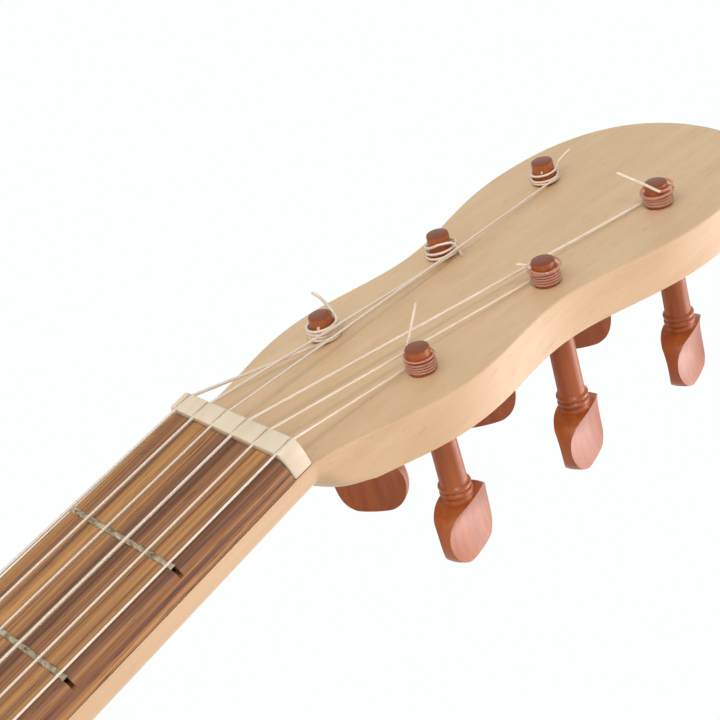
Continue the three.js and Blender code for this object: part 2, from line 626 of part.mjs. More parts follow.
/** Fingerboard with rounded edges and a slot right across it for each fret. */
function fingerboard() {
  const ring = (z) => {
    const [half, { across, down }] = [boardHalfWidth(z), BOARD_EDGE_ROUND];
    const rounded = [0, 1, 2, 3, 4].map((k) => {
      const angle = (Math.PI / 2) * (k / 4);
      return [half - across * (1 - Math.cos(angle)), BOARD_TOP + down * (1 - Math.sin(angle))];
    });
    const right = [[half, BOARD_BOTTOM], ...rounded];
    const left = right.map(([x, y]) => [-x, y]).reverse();
    return [...right, ...left].map(([x, y]) => new THREE.Vector3(x, y, z));
  };
  const slots = FRETS.map((n) =>
    box(2 * BOARD_WIDTH_AT_BODY, 2 * FRET_SLOT_DEPTH, FRET_TANG_WIDTH + 2 * SEAT, [0, BOARD_TOP, fretZ(n)]));
  return cut(loft([ring(-SEAT), ring(BOARD_END)]), ...slots);
}

/** Fret n: a round crown on the board and a tang in its slot. */
function fret(n) {
  const [half, tang] = [FRET_CROWN_WIDTH / 2, FRET_TANG_WIDTH / 2];
  const crown = [0, 1, 2, 3, 4, 5, 6].map((k) => {
    const angle = (Math.PI * k) / 6;
    return [-FRET_CROWN_HEIGHT * Math.sin(angle), -half * Math.cos(angle)];
  });
  const foot = [[0, tang], [FRET_TANG_DEPTH, tang], [FRET_TANG_DEPTH, -tang], [0, -tang]];
  const outline = [...crown, ...foot].map(([y, z]) => point(BOARD_TOP - SEAT + y, fretZ(n) + z));
  return slab(outline, 0, 2 * (boardHalfWidth(fretZ(n)) - FRET_END_INSET));
}

/** Bone nut: ends rounded like the fingerboard, with a slot for each string. */
function nut() {
  const [half, { across, down }] = [NUT_WIDTH / 2, NUT_END_ROUND];
  const shape = new THREE.Shape();
  shape.moveTo(-half, -BOARD_BOTTOM);
  shape.absellipse(-half + across, NUT_RISE - down, across, down, Math.PI, Math.PI / 2, true);
  for (const n of [6, 5, 4, 3, 2, 1]) {
    const [x, diameter] = [stringX(n, 0), STRING_DIAMETERS[n - 1]];
    const [reach, floor] = [diameter / 2 + SEAT, -NUT_BREAK - diameter / 2 - SEAT];
    shape.lineTo(x - reach, NUT_RISE);
    shape.lineTo(x - reach, floor);
    shape.lineTo(x + reach, floor);
    shape.lineTo(x + reach, NUT_RISE);
  }
  shape.absellipse(half - across, NUT_RISE - down, across, down, Math.PI / 2, 0, true);
  shape.lineTo(half, -BOARD_BOTTOM);
  const geometry = new THREE.ExtrudeGeometry(shape, {
    depth: NUT_THICKNESS, steps: 1, bevelEnabled: false, curveSegments: 5,
  });
  return solid(geometry.rotateX(Math.PI).translate(0, 0, NUT_THICKNESS));
}

// ---------------------------------------------------------------- pegs and strings

/** A peg's ring at a height above the face: a circle cut flat on both sides where it is thicker. */
function pegRing(above, radius, halfThickness) {
  const cutAngle = Math.asin(Math.min(halfThickness / radius, 0.97));
  const arc = [-1, -2 / 3, -1 / 3, 0, 1 / 3, 2 / 3, 1].map((k) => k * cutAngle);
  const flat = [0.5, 0, -0.5].map((k) => [k * radius * Math.cos(cutAngle), radius * Math.sin(cutAngle)]);
  const half = [...arc.map((angle) => [radius * Math.cos(angle), radius * Math.sin(angle)]), ...flat];
  return [...half, ...half.map(([x, y]) => [-x, -y])].map(([x, y]) => new THREE.Vector3(y, x, above));
}

/** Friction peg: tapered shank through the head, two collar rings and a scooped thumb piece. */
function peg() {
  const round = (above, radius) => pegRing(above, radius, 2 * radius);
  return loft([
    round(PEG_TIP_HEIGHT, PEG_TIP_RADIUS - PEG_TIP_ROUND),
    round(PEG_TIP_HEIGHT - PEG_TIP_ROUND, PEG_TIP_RADIUS),
    round(0, PEG_FACE_RADIUS),
    round(-HEAD_THICKNESS, PEG_SHANK_RADIUS),
    round(-PEG_COLLAR_AT + PEG_TIP_ROUND, PEG_SHANK_RADIUS + PEG_TAPER),
    ...PEG_COLLAR_RINGS.map(([along, slimmer]) =>
      round(-PEG_COLLAR_AT - along, PEG_COLLAR_RADIUS - slimmer)),
    ...THUMB_ROWS.map(([share, wide, half]) =>
      pegRing(-PEG_COLLAR_AT - THUMB_AT - share * THUMB_LENGTH, wide * THUMB_RADIUS, half)),
  ]);
}

/** Turns of a string round its peg, as a sleeve, with the string's loose end. */
function winding(n) {
  const diameter = STRING_DIAMETERS[n - 1];
  const inner = PEG_FACE_RADIUS + SEAT;
  const [foot, top] = [WINDING_FOOT, WINDING_FOOT + diameter * WINDING_TURNS[n - 1]];
  const sleeve = turned(
    [[foot, inner], [foot, inner + diameter], [top, inner + diameter], [top, inner], [foot, inner]], 20);
  const [start, ...rest] = LOOSE_ENDS[n - 1].map((at) => new THREE.Vector3(...at));
  const inWall = (inner + diameter / 2) / Math.hypot(start.x, start.y);
  start.multiply(new THREE.Vector3(inWall, inWall, 1));
  return join(sleeve, wire([start, ...rest], LOOSE_END_RADIUS, 6));
}

/** A string from the tie block over saddle and nut to the inner side of its winding. */
function string(n) {
  const diameter = STRING_DIAMETERS[n - 1];
  const { x, along } = PEG_PLACES[n - 1];
  const root = stringX(n, 0);
  const reach = PEG_FACE_RADIUS + 1.5 * diameter + 2 * SEAT;
  const length = Math.hypot(x - root, along);
  const angle = Math.atan2(x - root, along) - Math.sign(x) * Math.asin(reach / length);
  const run = Math.sqrt(length ** 2 - reach ** 2);
  const end = onHead(root + run * Math.sin(angle), run * Math.cos(angle), STRING_END_HEIGHT);
  const path = [
    new THREE.Vector3(stringX(n, SADDLE_Z), TIE_HOLE_Y, BRIDGE_BACK_Z - STRING_TAIL),
    new THREE.Vector3(stringX(n, SADDLE_Z), TIE_HOLE_Y, TIE_FACE_Z + diameter / 2),
    new THREE.Vector3(stringX(n, SADDLE_Z), stringY(SADDLE_Z), SADDLE_Z - SADDLE_WIDTH / 2),
    new THREE.Vector3(stringX(n, SADDLE_Z), stringY(SADDLE_Z), SADDLE_Z + SADDLE_WIDTH / 2),
    new THREE.Vector3(root, 0, 0),
    new THREE.Vector3(root, NUT_BREAK, NUT_THICKNESS),
    end,
  ];
  return loft(path.map((centre) => barRing(centre, diameter / 2, 8)));
}

// ---------------------------------------------------------------- the stand

/** Floor-plan y and height of a place in the guitar's frame. */
function onFloor(y, z) {
  const [s, c] = [Math.sin(LEAN), Math.cos(LEAN)];
  return point(GUITAR_Y + y * c + z * s, GUITAR_Z - y * s + z * c);
}

const PAD_INNER = SIDE_BOARD.at - SIDE_BOARD.thickness / 2;
const PAD_OUTER = SIDE_BOARD.at + SIDE_BOARD.thickness / 2;
const ARM_Z = bodyEdge(PAD_INNER, -SEAT, false) - PAD_THICKNESS - SEAT;
const REST_TOP = BODY_TOP - REST_TOP_AT;
const restFace = (z) => backOuter(z) + PAD_THICKNESS + 2 * SEAT;
const ARM_FRONT = NECK_TOP - LIP.clearance;

/** Side board in y and z: foot, front lip, arm under the body and upright behind it. */
function sideBoard(side) {
  const lip = onFloor(ARM_FRONT, ARM_Z);
  const corner = onFloor(restFace(ARM_Z), ARM_Z);
  const restTop = onFloor(restFace(REST_TOP), REST_TOP);
  const rearTop = onFloor(restFace(REST_TOP) + UPRIGHT_DEPTH, REST_TOP);
  const rearFoot = onFloor(restFace(ARM_Z) + UPRIGHT_DEPTH, ARM_Z);
  const lipFront = lip.x - LIP.thickness;
  const shape = new THREE.Shape();
  shape.moveTo(lipFront - LIP.toe, 0);
  shape.lineTo(REAR_FOOT_AT, 0);
  shape.lineTo(REAR_FOOT_AT, FOOT_HEIGHT * 0.7);
  shape.quadraticCurveTo(REAR_FOOT_AT, FOOT_HEIGHT, REAR_FOOT_AT - FOOT_HEIGHT / 2, FOOT_HEIGHT);
  shape.quadraticCurveTo(rearFoot.x, FOOT_HEIGHT, rearFoot.x, rearFoot.y + FOOT_HEIGHT);
  shape.lineTo(rearTop.x, rearTop.y - UPRIGHT_DEPTH / 2);
  const crest = rearTop.clone().lerp(restTop, 0.5);
  shape.quadraticCurveTo(rearTop.x, rearTop.y, crest.x, crest.y);
  shape.lineTo(restTop.x, restTop.y);
  shape.lineTo(corner.x, corner.y);
  shape.lineTo(lip.x, lip.y);
  const round = LIP.thickness / 2;
  shape.lineTo(lip.x, lip.y + LIP.height - round);
  shape.absarc(lip.x - round, lip.y + LIP.height - round, round, 0, Math.PI);
  shape.lineTo(lipFront, FOOT_HEIGHT * 1.4);
  shape.quadraticCurveTo(lipFront, FOOT_HEIGHT, lipFront - LIP.toe * 0.5, FOOT_HEIGHT);
  shape.quadraticCurveTo(lipFront - LIP.toe, FOOT_HEIGHT, lipFront - LIP.toe, FOOT_HEIGHT * 0.6);
  const slots = [RAIL.frontAt, RAIL.rearAt].map((y) =>
    box(2 * SIDE_BOARD.thickness, RAIL.thickness + 2 * SEAT, RAIL.height + 2 * SEAT,
      [side * SIDE_BOARD.at, y, 0]));
  return cut(slab(shape, side * SIDE_BOARD.at, SIDE_BOARD.thickness), ...slots);
}

/** Rail across both side boards, slotted over them from above. */
function rail(y) {
  const length = 2 * (PAD_OUTER + RAIL.overhang);
  const slots = [-1, 1].map((side) =>
    box(SIDE_BOARD.thickness + 2 * SEAT, 2 * RAIL.thickness, RAIL.height + 2 * SEAT,
      [side * SIDE_BOARD.at, y, RAIL.height]));
  return cut(box(length, RAIL.thickness, RAIL.height, [0, y, RAIL.height / 2]), ...slots);
}

/** Cork pad on an arm, its upper face following the body's lower edge. */
function armPad(side) {
  const corners = halfBody(-SEAT).filter((p) => p.y < BODY_TOP - BODY_LOWER_AT).reverse();
  const top = [
    point(PAD_INNER, bodyEdge(PAD_INNER, -SEAT, false)),
    ...corners.filter((p) => p.x > PAD_INNER + SEAT && p.x < PAD_OUTER - SEAT),
    point(PAD_OUTER, bodyEdge(PAD_OUTER, -SEAT, false)),
  ].map((p) => point(side * p.x, p.y));
  const bottom = [point(side * PAD_OUTER, ARM_Z + SEAT), point(side * PAD_INNER, ARM_Z + SEAT)];
  return plate([...top, ...bottom], constant(ARM_FRONT + ARM_PAD_SETBACK), backOuter);
}

/** Cork pad between an upright and the back of the body. */
function backPad(side) {
  const top = REST_TOP - BACK_PAD_SETBACK;
  const bottom = top - BACK_PAD_LENGTH;
  const corners = [[PAD_INNER, top], [PAD_OUTER, top], [PAD_OUTER, bottom], [PAD_INNER, bottom]];
  return plate(corners.map(([x, z]) => point(side * x, z)),
    (z) => backOuter(z) + SEAT, (z) => backOuter(z) + SEAT + PAD_THICKNESS);
}

// ---------------------------------------------------------------- assembly

function mesh(name, geometry, material) {
  const piece = new THREE.Mesh(geometry, material);
  piece.name = name;
  return piece;
}

const SIDES = [['bass', -1], ['treble', 1]];

function bodyPieces() {
  return [
    mesh('soundboard', soundboard(), SPRUCE),
    mesh('back_plate', backPlate(), MAPLE),
    ...SIDES.map(([name, side]) => mesh(`rib_${name}`, rib(side), MAPLE)),
    mesh('binding_front', binding(true), DARK_WOOD),
    mesh('binding_back', binding(false), DARK_WOOD),
    mesh('lining_front', lining(true), INNER_WOOD),
    mesh('lining_back', lining(false), INNER_WOOD),
    mesh('neck_block', endBlock(true), INNER_WOOD),
    mesh('tail_block', endBlock(false), INNER_WOOD),
    ...FRONT_BARS_AT.map((below, k) => mesh(`front_bar_${k + 1}`, bar(below, true), INNER_WOOD)),
    ...BACK_BARS_AT.map((below, k) => mesh(`back_bar_${k + 1}`, bar(below, false), INNER_WOOD)),
    mesh('bridge', bridge(), DARK_WOOD),
    mesh('saddle', saddle(), BONE),
    mesh('end_button', endButton(), DARK_WOOD),
  ];
}

function neckPieces() {
  return [
    mesh('neck_and_head', neckAndHead(), MAPLE),
    mesh('heel_cap', heelCap(), DARK_WOOD),
    mesh('fingerboard', fingerboard(), WALNUT),
    ...FRETS.map((n) => mesh(`fret_${n}`, fret(n), FRET_METAL)),
    mesh('nut', nut(), BONE),
    ...STRINGS.map((n) => mesh(`string_${n}`, string(n), n > 3 ? WOUND_METAL : NYLON)),
  ];
}

/** Pegs and windings in the head's own frame. */
function headGroup() {
  const head = new THREE.Group();
  head.rotation.x = Math.PI / 2 - HEAD_ANGLE;
  head.position.set(0, NECK_TOP, NUT_THICKNESS);
  for (const n of STRINGS) {
    const { x, along } = PEG_PLACES[n - 1];
    const turner = mesh(`peg_${n}`, peg(), PEG_WOOD);
    turner.position.set(x, along, 0);
    turner.rotation.z = THREE.MathUtils.degToRad(PEG_TURNS[n - 1]);
    const turns = mesh(`winding_${n}`, winding(n), n > 3 ? WOUND_METAL : NYLON);
    turns.position.set(x, along, 0);
    head.add(turner, turns);
  }
  return head;
}

function leaning(...children) {
  const group = new THREE.Group();
  group.rotation.x = -LEAN;
  group.position.set(0, GUITAR_Y, GUITAR_Z);
  group.add(...children);
  return group;
}

const stand = new THREE.Group();
stand.add(
  ...SIDES.map(([name, side]) => mesh(`stand_side_${name}`, sideBoard(side), STAND_WOOD)),
  mesh('stand_rail_front', rail(RAIL.frontAt), STAND_WOOD),
  mesh('stand_rail_rear', rail(RAIL.rearAt), STAND_WOOD),
  leaning(
    ...SIDES.map(([name, side]) => mesh(`arm_pad_${name}`, armPad(side), CORK)),
    ...SIDES.map(([name, side]) => mesh(`back_pad_${name}`, backPad(side), CORK)),
  ),
);

const guitarOnStand = new THREE.Group();
guitarOnStand.add(stand, leaning(...bodyPieces(), ...neckPieces(), headGroup()));

export default guitarOnStand;
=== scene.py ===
"""Looks of a six-string guitar with a figure-of-eight peg head, resting on a slotted floor stand.

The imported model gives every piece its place. This script softens the edges of the carved pieces,
turns the pegs, winds the strings round them, ties them at the bridge and gives each surface its
finish. Sizes are in millimetres in the guitar's own frame unless a name says otherwise: x runs across
the strings towards the treble side, y from the strings to the back and z up the neck to the head.
"""
import json
import logging
import math
from dataclasses import dataclass, replace
from enum import Enum
from typing import Callable, Iterable, Sequence

import bmesh
import bpy
from mathutils import Matrix, Vector
from mathutils.geometry import interpolate_bezier


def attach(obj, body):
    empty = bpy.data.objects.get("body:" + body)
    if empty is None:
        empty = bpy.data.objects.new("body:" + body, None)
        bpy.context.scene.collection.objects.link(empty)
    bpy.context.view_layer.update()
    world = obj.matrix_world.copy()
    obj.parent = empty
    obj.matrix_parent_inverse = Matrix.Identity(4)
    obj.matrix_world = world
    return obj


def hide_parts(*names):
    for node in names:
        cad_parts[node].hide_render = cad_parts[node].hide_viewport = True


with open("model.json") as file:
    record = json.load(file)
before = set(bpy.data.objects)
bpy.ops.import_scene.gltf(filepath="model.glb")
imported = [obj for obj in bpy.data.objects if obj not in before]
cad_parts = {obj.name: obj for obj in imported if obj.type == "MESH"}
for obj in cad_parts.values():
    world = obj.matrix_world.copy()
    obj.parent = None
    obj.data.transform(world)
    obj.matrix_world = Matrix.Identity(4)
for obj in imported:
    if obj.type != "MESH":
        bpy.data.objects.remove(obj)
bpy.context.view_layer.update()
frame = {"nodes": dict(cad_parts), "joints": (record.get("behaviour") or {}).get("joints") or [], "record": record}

log = logging.getLogger("guitar")

Colour = tuple[float, float, float]
Spot = tuple[float, float, float]
Rows = Sequence[Sequence[float]]
Socket = bpy.types.NodeSocket
Piece = bpy.types.Object
Shape = bmesh.types.BMesh

# ------------------------------------------------------------------ the frames that pieces are made in

MM = 0.001
LEAN = math.radians(14)  # how far the guitar leans back on its stand
HEAD_ANGLE = math.radians(11.4)  # how far the head is tilted back from the strings
HEAD_TURN = math.pi / 2 - HEAD_ANGLE
HEAD_THICKNESS = 12.5
NUT_THICKNESS = 5.8
NUT_BREAK = 0.5  # how far a string drops on its way over the nut
FACE_ROOT = Vector((0, 8, NUT_THICKNESS))  # where the face of the head starts, behind the nut
# Pegs 1 to 6 on the face of the head: across and along it.
PEG_ROWS = ((19, 41.3), (20, 87.3), (21.2, 133), (-21.2, 133), (-20, 87.3), (-19, 41.3))

# The head's own frame inside the guitar's: x across the head, y along it and z above its face.
ON_GUITAR = Matrix.Translation(FACE_ROOT) @ Matrix.Rotation(HEAD_TURN, 4, "X")


def find_origin() -> Vector:
    """Works out where the top of the nut lies from the first peg's joint.

    Returns:
        Its place in the row frame, in metres.
    """
    joint = next(j for j in frame["joints"] if j["child"] == "peg_1")
    arm = ON_GUITAR @ Vector((*PEG_ROWS[0], 0))
    return Vector(joint["pos_m"]) - Matrix.Rotation(-LEAN, 3, "X") @ arm * MM


ORIGIN = find_origin()
GUITAR = Matrix.Translation(ORIGIN) @ Matrix.Rotation(-LEAN, 4, "X") @ Matrix.Scale(MM, 4)
HEAD = GUITAR @ ON_GUITAR

STRINGS = range(1, 7)
MIDDLE = 3.5  # halfway between the first string and the sixth
GAPS = 5  # between the strings
FIRST_WOUND = 4  # strings 4 to 6 are wound with wire, 1 to 3 are plain nylon
STRING_DIAMETERS = (0.6, 0.65, 0.82, 0.65, 0.75, 0.85)
SCALE_LENGTH = 630.0
FRETS_TO_OCTAVE = 12
SADDLE_Z = -631.5
SPREAD_NUT = 41.2  # first to sixth string
SPREAD_SADDLE = 56.0
SLOT_SHIFTS = (0.4, 0.0, -0.2, -0.3, 0.2, 0.8)  # the nut's slots were filed by eye


def srgb(red: int, green: int, blue: int) -> Colour:
    """Turns a screen colour into linear light.

    Args:
        red: Its red from 0 to 255.
        green: Its green, in the same way.
        blue: Its blue, in the same way.

    Returns:
        The colour in linear light, each part from 0 to 1.
    """
    def linear(value: float) -> float:
        """One part of the colour in linear light."""
        return value / 12.92 if value <= 0.04045 else ((value + 0.055) / 1.055) ** 2.4
    return linear(red / 255), linear(green / 255), linear(blue / 255)


def mix(a: float, b: float, share: float) -> float:
    """Goes from a to b as share goes from 0 to 1."""
    return a + (b - a) * share


def ease(share: float) -> float:
    """Goes from 0 to 1 with a soft start and end, and stays there outside."""
    held = min(1.0, max(0.0, share))
    return held * held * (3 - 2 * held)


def fan(angle: float, steps: int) -> list[float]:
    """Angles from 0 up to the given one, evenly spaced."""
    return [angle * k / steps for k in range(steps + 1)]


def string_across(n: int, z: float) -> float:
    """Sideways place of string n at z."""
    share = max(0.0, z / SADDLE_Z)
    return mix(SPREAD_NUT, SPREAD_SADDLE, share) * (MIDDLE - n) / GAPS + SLOT_SHIFTS[n - 1] * (1 - share)


# ------------------------------------------------------------------ node trees


class Graph:
    """Adds nodes to a node tree, with their settings and links given by name."""

    def __init__(self, tree: bpy.types.NodeTree) -> None:
        """Takes the tree that the nodes go into."""
        self.tree = tree

    def add(self, kind: str, inputs: dict | None = None, **settings) -> bpy.types.Node:
        """Adds a node.

        Args:
            kind: The node's type, without its ShaderNode prefix.
            inputs: Socket names or numbers, each with a value or an output socket.
            settings: The node's own properties.

        Returns:
            The new node.
        """
        made = self.tree.nodes.new("ShaderNode" + kind)
        for name, value in settings.items():
            setattr(made, name, value)
        for name, value in (inputs or {}).items():
            self.feed(made.inputs[name], value)
        return made

    def feed(self, socket: Socket, value: object) -> None:
        """Links an output socket to a socket, or sets the socket's own value.

        Args:
            socket: The socket that is fed.
            value: An output socket, a colour, a vector or a number.
        """
        if isinstance(value, Socket):
            self.tree.links.new(value, socket)
        elif isinstance(value, tuple) and len(value) == 3 and socket.type == "RGBA":
            socket.default_value = (*value, 1.0)
        else:
            socket.default_value = value

    def maths(self, operation: str, *values: object) -> Socket:
        """A Math node's result."""
        return self.add("Math", dict(enumerate(values)), operation=operation).outputs[0]

    def spread(self, value: object, low: float, high: float,
               to: tuple[float, float] = (0, 1)) -> Socket:
        """A value spread from low..high to the given range, clamped."""
        inputs = {"Value": value, "From Min": low, "From Max": high, "To Min": to[0], "To Max": to[1]}
        return self.add("MapRange", inputs).outputs[0]

    def ramp(self, value: object, stops: Sequence[tuple[float, Colour]]) -> Socket:
        """A colour ramp.

        Args:
            value: What picks the colour, from 0 to 1.
            stops: The ramp's places and their colours.

        Returns:
            The picked colour.
        """
        made = self.add("ValToRGB", {"Fac": value})
        elements = made.color_ramp.elements
        while len(elements) < len(stops):
            elements.new(0.5)
        for element, (place, colour) in zip(elements, stops):
            element.position = place
            element.color = (*colour, 1.0)
        return made.outputs["Color"]

    def blend(self, share: object, first: object, second: object) -> Socket:
        """Two colours mixed.

        Args:
            share: How much of the second colour there is, from 0 to 1.
            first: The first colour.
            second: The second colour.

        Returns:
            The mixed colour.
        """
        made = self.add("Mix", data_type="RGBA")
        for name, value in (("Factor", share), ("A", first), ("B", second)):
            kind = "VALUE" if name == "Factor" else "RGBA"
            self.feed(next(s for s in made.inputs if s.name == name and s.type == kind), value)
        return next(s for s in made.outputs if s.type == "RGBA")


def new_group(name: str, inputs: dict[str, str],
              outputs: dict[str, str]) -> tuple[bpy.types.NodeTree, Graph]:
    """Makes an empty node group.

    Args:
        name: The group's name.
        inputs: Input names, each with Float, Vector or Color.
        outputs: Output names, in the same way.

    Returns:
        The group and a graph to fill it with.
    """
    tree = bpy.data.node_groups.new(name, "ShaderNodeTree")
    for direction, sockets in (("INPUT", inputs), ("OUTPUT", outputs)):
        for socket, kind in sockets.items():
            tree.interface.new_socket(name=socket, in_out=direction, socket_type="NodeSocket" + kind)
    return tree, Graph(tree)


@dataclass(frozen=True)
class Grain:
    """Wood grain that runs along z: broad streaks, fine pores and a slow drift in tone."""

    detail: float = 6.0
    roughness: float = 0.58
    distortion: float = 0.25
    drift_detail: float = 2.0
    pore_detail: float = 3.0
    pore_stretch: float = 10.0  # pores to a streak along the grain
    pore_rim: float = 0.60  # the noise where a pore starts
    pore_floor: float = 0.72  # the noise where it is deepest
    streak_height: float = 0.25  # against the depth of a pore

    def build(self) -> bpy.types.NodeTree:
        """Makes the node group that every wood shares.

        Returns:
            The group, which puts out streaks, pores, drift and height.
        """
        sizes = dict.fromkeys(("Across", "Along", "Pore Size", "Zones"), "Float")
        results = dict.fromkeys(("Streaks", "Pores", "Drift", "Height"), "Float")
        tree, graph = new_group("wood_grain", {"Vector": "Vector", **sizes}, results)
        given = tree.nodes.new("NodeGroupInput").outputs
        across, size = given["Across"], given["Pore Size"]
        stretch = graph.add("CombineXYZ", {0: across, 1: across, 2: given["Along"]}).outputs[0]
        vector = graph.add("VectorMath", {0: given["Vector"], 1: stretch}, operation="MULTIPLY").outputs[0]
        noise = {"Vector": vector, "Scale": 1.0, "Detail": self.detail, "Roughness": self.roughness,
                 "Distortion": self.distortion}
        streaks = graph.add("TexNoise", noise).outputs[0]
        slow = graph.add("VectorMath", {0: vector, "Scale": given["Zones"]}, operation="SCALE").outputs[0]
        noise = {"Vector": slow, "Scale": 1.0, "Detail": self.drift_detail}
        drift = graph.add("TexNoise", noise).outputs[0]
        fine = graph.add("CombineXYZ", {0: size, 1: size, 2: self.pore_stretch}).outputs[0]
        fine_vector = graph.add("VectorMath", {0: vector, 1: fine}, operation="MULTIPLY").outputs[0]
        noise = {"Vector": fine_vector, "Scale": 1.0, "Detail": self.pore_detail}
        specks = graph.add("TexNoise", noise).outputs[0]
        pores = graph.spread(specks, self.pore_rim, self.pore_floor)
        height = graph.maths("SUBTRACT", graph.maths("MULTIPLY", streaks, self.streak_height), pores)
        out = tree.nodes.new("NodeGroupOutput")
        for name, value in (("Streaks", streaks), ("Pores", pores), ("Drift", drift), ("Height", height)):
            graph.feed(out.inputs[name], value)
        return tree


# ------------------------------------------------------------------ finishes


class Run(Enum):
    """The frame whose z axis a wood grain follows, as a place and a turn in the row frame."""

    NECK = (tuple(ORIGIN), (-LEAN, 0, 0))
    PEG = (tuple(ORIGIN), (HEAD_TURN - LEAN, 0, 0))
    UPRIGHT = ((0, 0, 0), (math.radians(-20), 0, 0))
    ACROSS = ((0, 0, 0), (0, math.radians(90), 0))
    WRAPPED = None  # the piece carries its own attribute of that name

    def vector(self, graph: Graph) -> Socket:
        """Adds the coordinates in that frame.

        Args:
            graph: The material's graph.

        Returns:
            The coordinates in metres.
        """
        if self is Run.WRAPPED:
            return graph.add("Attribute", attribute_name="wrapped").outputs["Vector"]
        place, turn = self.value
        inputs = {"Vector": graph.add("TexCoord").outputs["Object"], "Location": place, "Rotation": turn}
        return graph.add("Mapping", inputs, vector_type="TEXTURE").outputs[0]


# A finish's own marks: takes the graph, the coordinates and the ground colour, and gives the colour.
Marks = Callable[[Graph, Socket, Socket], Socket]


@dataclass(frozen=True)
class Wood:
    """A clear-finished wood."""

    name: str
    run: Run
    pale: Colour
    mid: Colour
    dark: Colour
    pore: Colour
    across: float = 160.0  # streaks to a metre
    along: float = 6.0
    pore_size: float = 9.0  # pores to a streak
    zones: float = 0.12  # broad zones of tone to a streak
    zone_share: float = 0.6
    pore_share: float = 0.5
    roughness: float = 0.45
    coat: float = 0.0
    shine: float = 0.5
    coat_roughness: float = 0.18
    pore_roughness: float = 0.2  # how much rougher a pore is
    bump: float = 0.08  # height of the relief in millimetres
    relief: float = 0.6  # how strongly it shows
    spread: tuple[float, float] = (0.35, 0.65)  # the tone of the darkest wood and of the palest
    marks: Marks | None = None

    def build(self, grain: bpy.types.NodeTree) -> bpy.types.Material:
        """Makes the material.

        Args:
            grain: The shared wood grain group.

        Returns:
            The finished material.
        """
        material, graph, shader = new_material(self.name)
        vector = self.run.vector(graph)
        group = graph.add("Group", node_tree=grain)
        for name, value in (("Vector", vector), ("Across", self.across), ("Along", self.along),
                            ("Pore Size", self.pore_size), ("Zones", self.zones)):
            graph.feed(group.inputs[name], value)
        pores = group.outputs["Pores"]
        uneven = graph.maths("SUBTRACT", group.outputs["Drift"], 0.5)
        drift = graph.maths("MULTIPLY", uneven, self.zone_share)
        tone = graph.maths("ADD", group.outputs["Streaks"], drift)
        spread = graph.spread(tone, *self.spread)
        colour = graph.ramp(spread, ((0.0, self.dark), (0.5, self.mid), (1.0, self.pale)))
        colour = graph.blend(graph.maths("MULTIPLY", pores, self.pore_share), colour, self.pore)
        if self.marks:
            colour = self.marks(graph, vector, colour)
        graph.feed(shader.inputs["Base Color"], colour)
        roughest = min(1.0, self.roughness + self.pore_roughness)
        graph.feed(shader.inputs["Roughness"], graph.spread(pores, 0, 1, (self.roughness, roughest)))
        shader.inputs["Specular IOR Level"].default_value = self.shine
        shader.inputs["Coat Weight"].default_value = self.coat
        shader.inputs["Coat Roughness"].default_value = self.coat_roughness
        add_relief(graph, shader, group.outputs["Height"], self.bump, self.relief)
        return material


def new_material(name: str) -> tuple[bpy.types.Material, Graph, bpy.types.Node]:
    """Makes an empty material.

    Args:
        name: The material's name.

    Returns:
        The material, its graph and its Principled shader.
    """
    material = bpy.data.materials.new(name)
    material.use_nodes = True
    shader = material.node_tree.nodes["Principled BSDF"]
    return material, Graph(material.node_tree), shader


def add_relief(graph: Graph, shader: bpy.types.Node, height: Socket, depth: float, strength: float) -> None:
    """Gives a surface its relief.

    Args:
        graph: The material's graph.
        shader: Its Principled shader.
        height: The height of the surface, from 0 to 1.
        depth: What 1 stands for, in millimetres.
        strength: How strongly the relief shows.
    """
    relief = graph.add("Bump", {"Height": height, "Distance": depth * MM, "Strength": strength})
    graph.feed(shader.inputs["Normal"], relief.outputs[0])


@dataclass(frozen=True)
class Smooth:
    """Bone, metal, nylon or cork: one colour, mottled by noise."""

    name: str
    colour: Colour
    second: Colour
    scale: float = 400.0  # noise cells to a metre
    stretch: Spot = (1.0, 1.0, 1.0)
    detail: float = 4.0
    roughness: float = 0.4
    uneven: float = 0.1  # how much rougher its rough spots are
    mottle: tuple[float, float] = (0.35, 0.65)  # the noise where each colour is at its fullest
    wear: tuple[float, float] = (0.3, 0.7)  # the noise where it is smoothest and roughest
    metallic: float = 0.0
    transmission: float = 0.0
    subsurface: float = 0.0
    light_reach: float = 0.002  # how far light wanders under the surface, in metres
    bump: float = 0.02  # height of the relief in millimetres
    relief: float = 0.5  # how strongly it shows
    ior: float = 1.5

    def build(self, _grain: bpy.types.NodeTree) -> bpy.types.Material:
        """Makes the material.

        Args:
            _grain: The shared wood grain group, which it has no use for.

        Returns:
            The finished material.
        """
        material, graph, shader = new_material(self.name)
        vector = graph.add("Mapping", {"Vector": Run.NECK.vector(graph), "Scale": self.stretch}).outputs[0]
        inputs = {"Vector": vector, "Scale": self.scale, "Detail": self.detail}
        noise = graph.add("TexNoise", inputs).outputs[0]
        spread = graph.spread(noise, *self.mottle)
        graph.feed(shader.inputs["Base Color"], graph.blend(spread, self.colour, self.second))
        rough = graph.spread(noise, *self.wear, (self.roughness, self.roughness + self.uneven))
        graph.feed(shader.inputs["Roughness"], rough)
        shader.inputs["Metallic"].default_value = self.metallic
        shader.inputs["Transmission Weight"].default_value = self.transmission
        shader.inputs["Subsurface Weight"].default_value = self.subsurface
        shader.inputs["Subsurface Scale"].default_value = self.light_reach
        shader.inputs["IOR"].default_value = self.ior
        add_relief(graph, shader, noise, self.bump, self.relief)
        return material


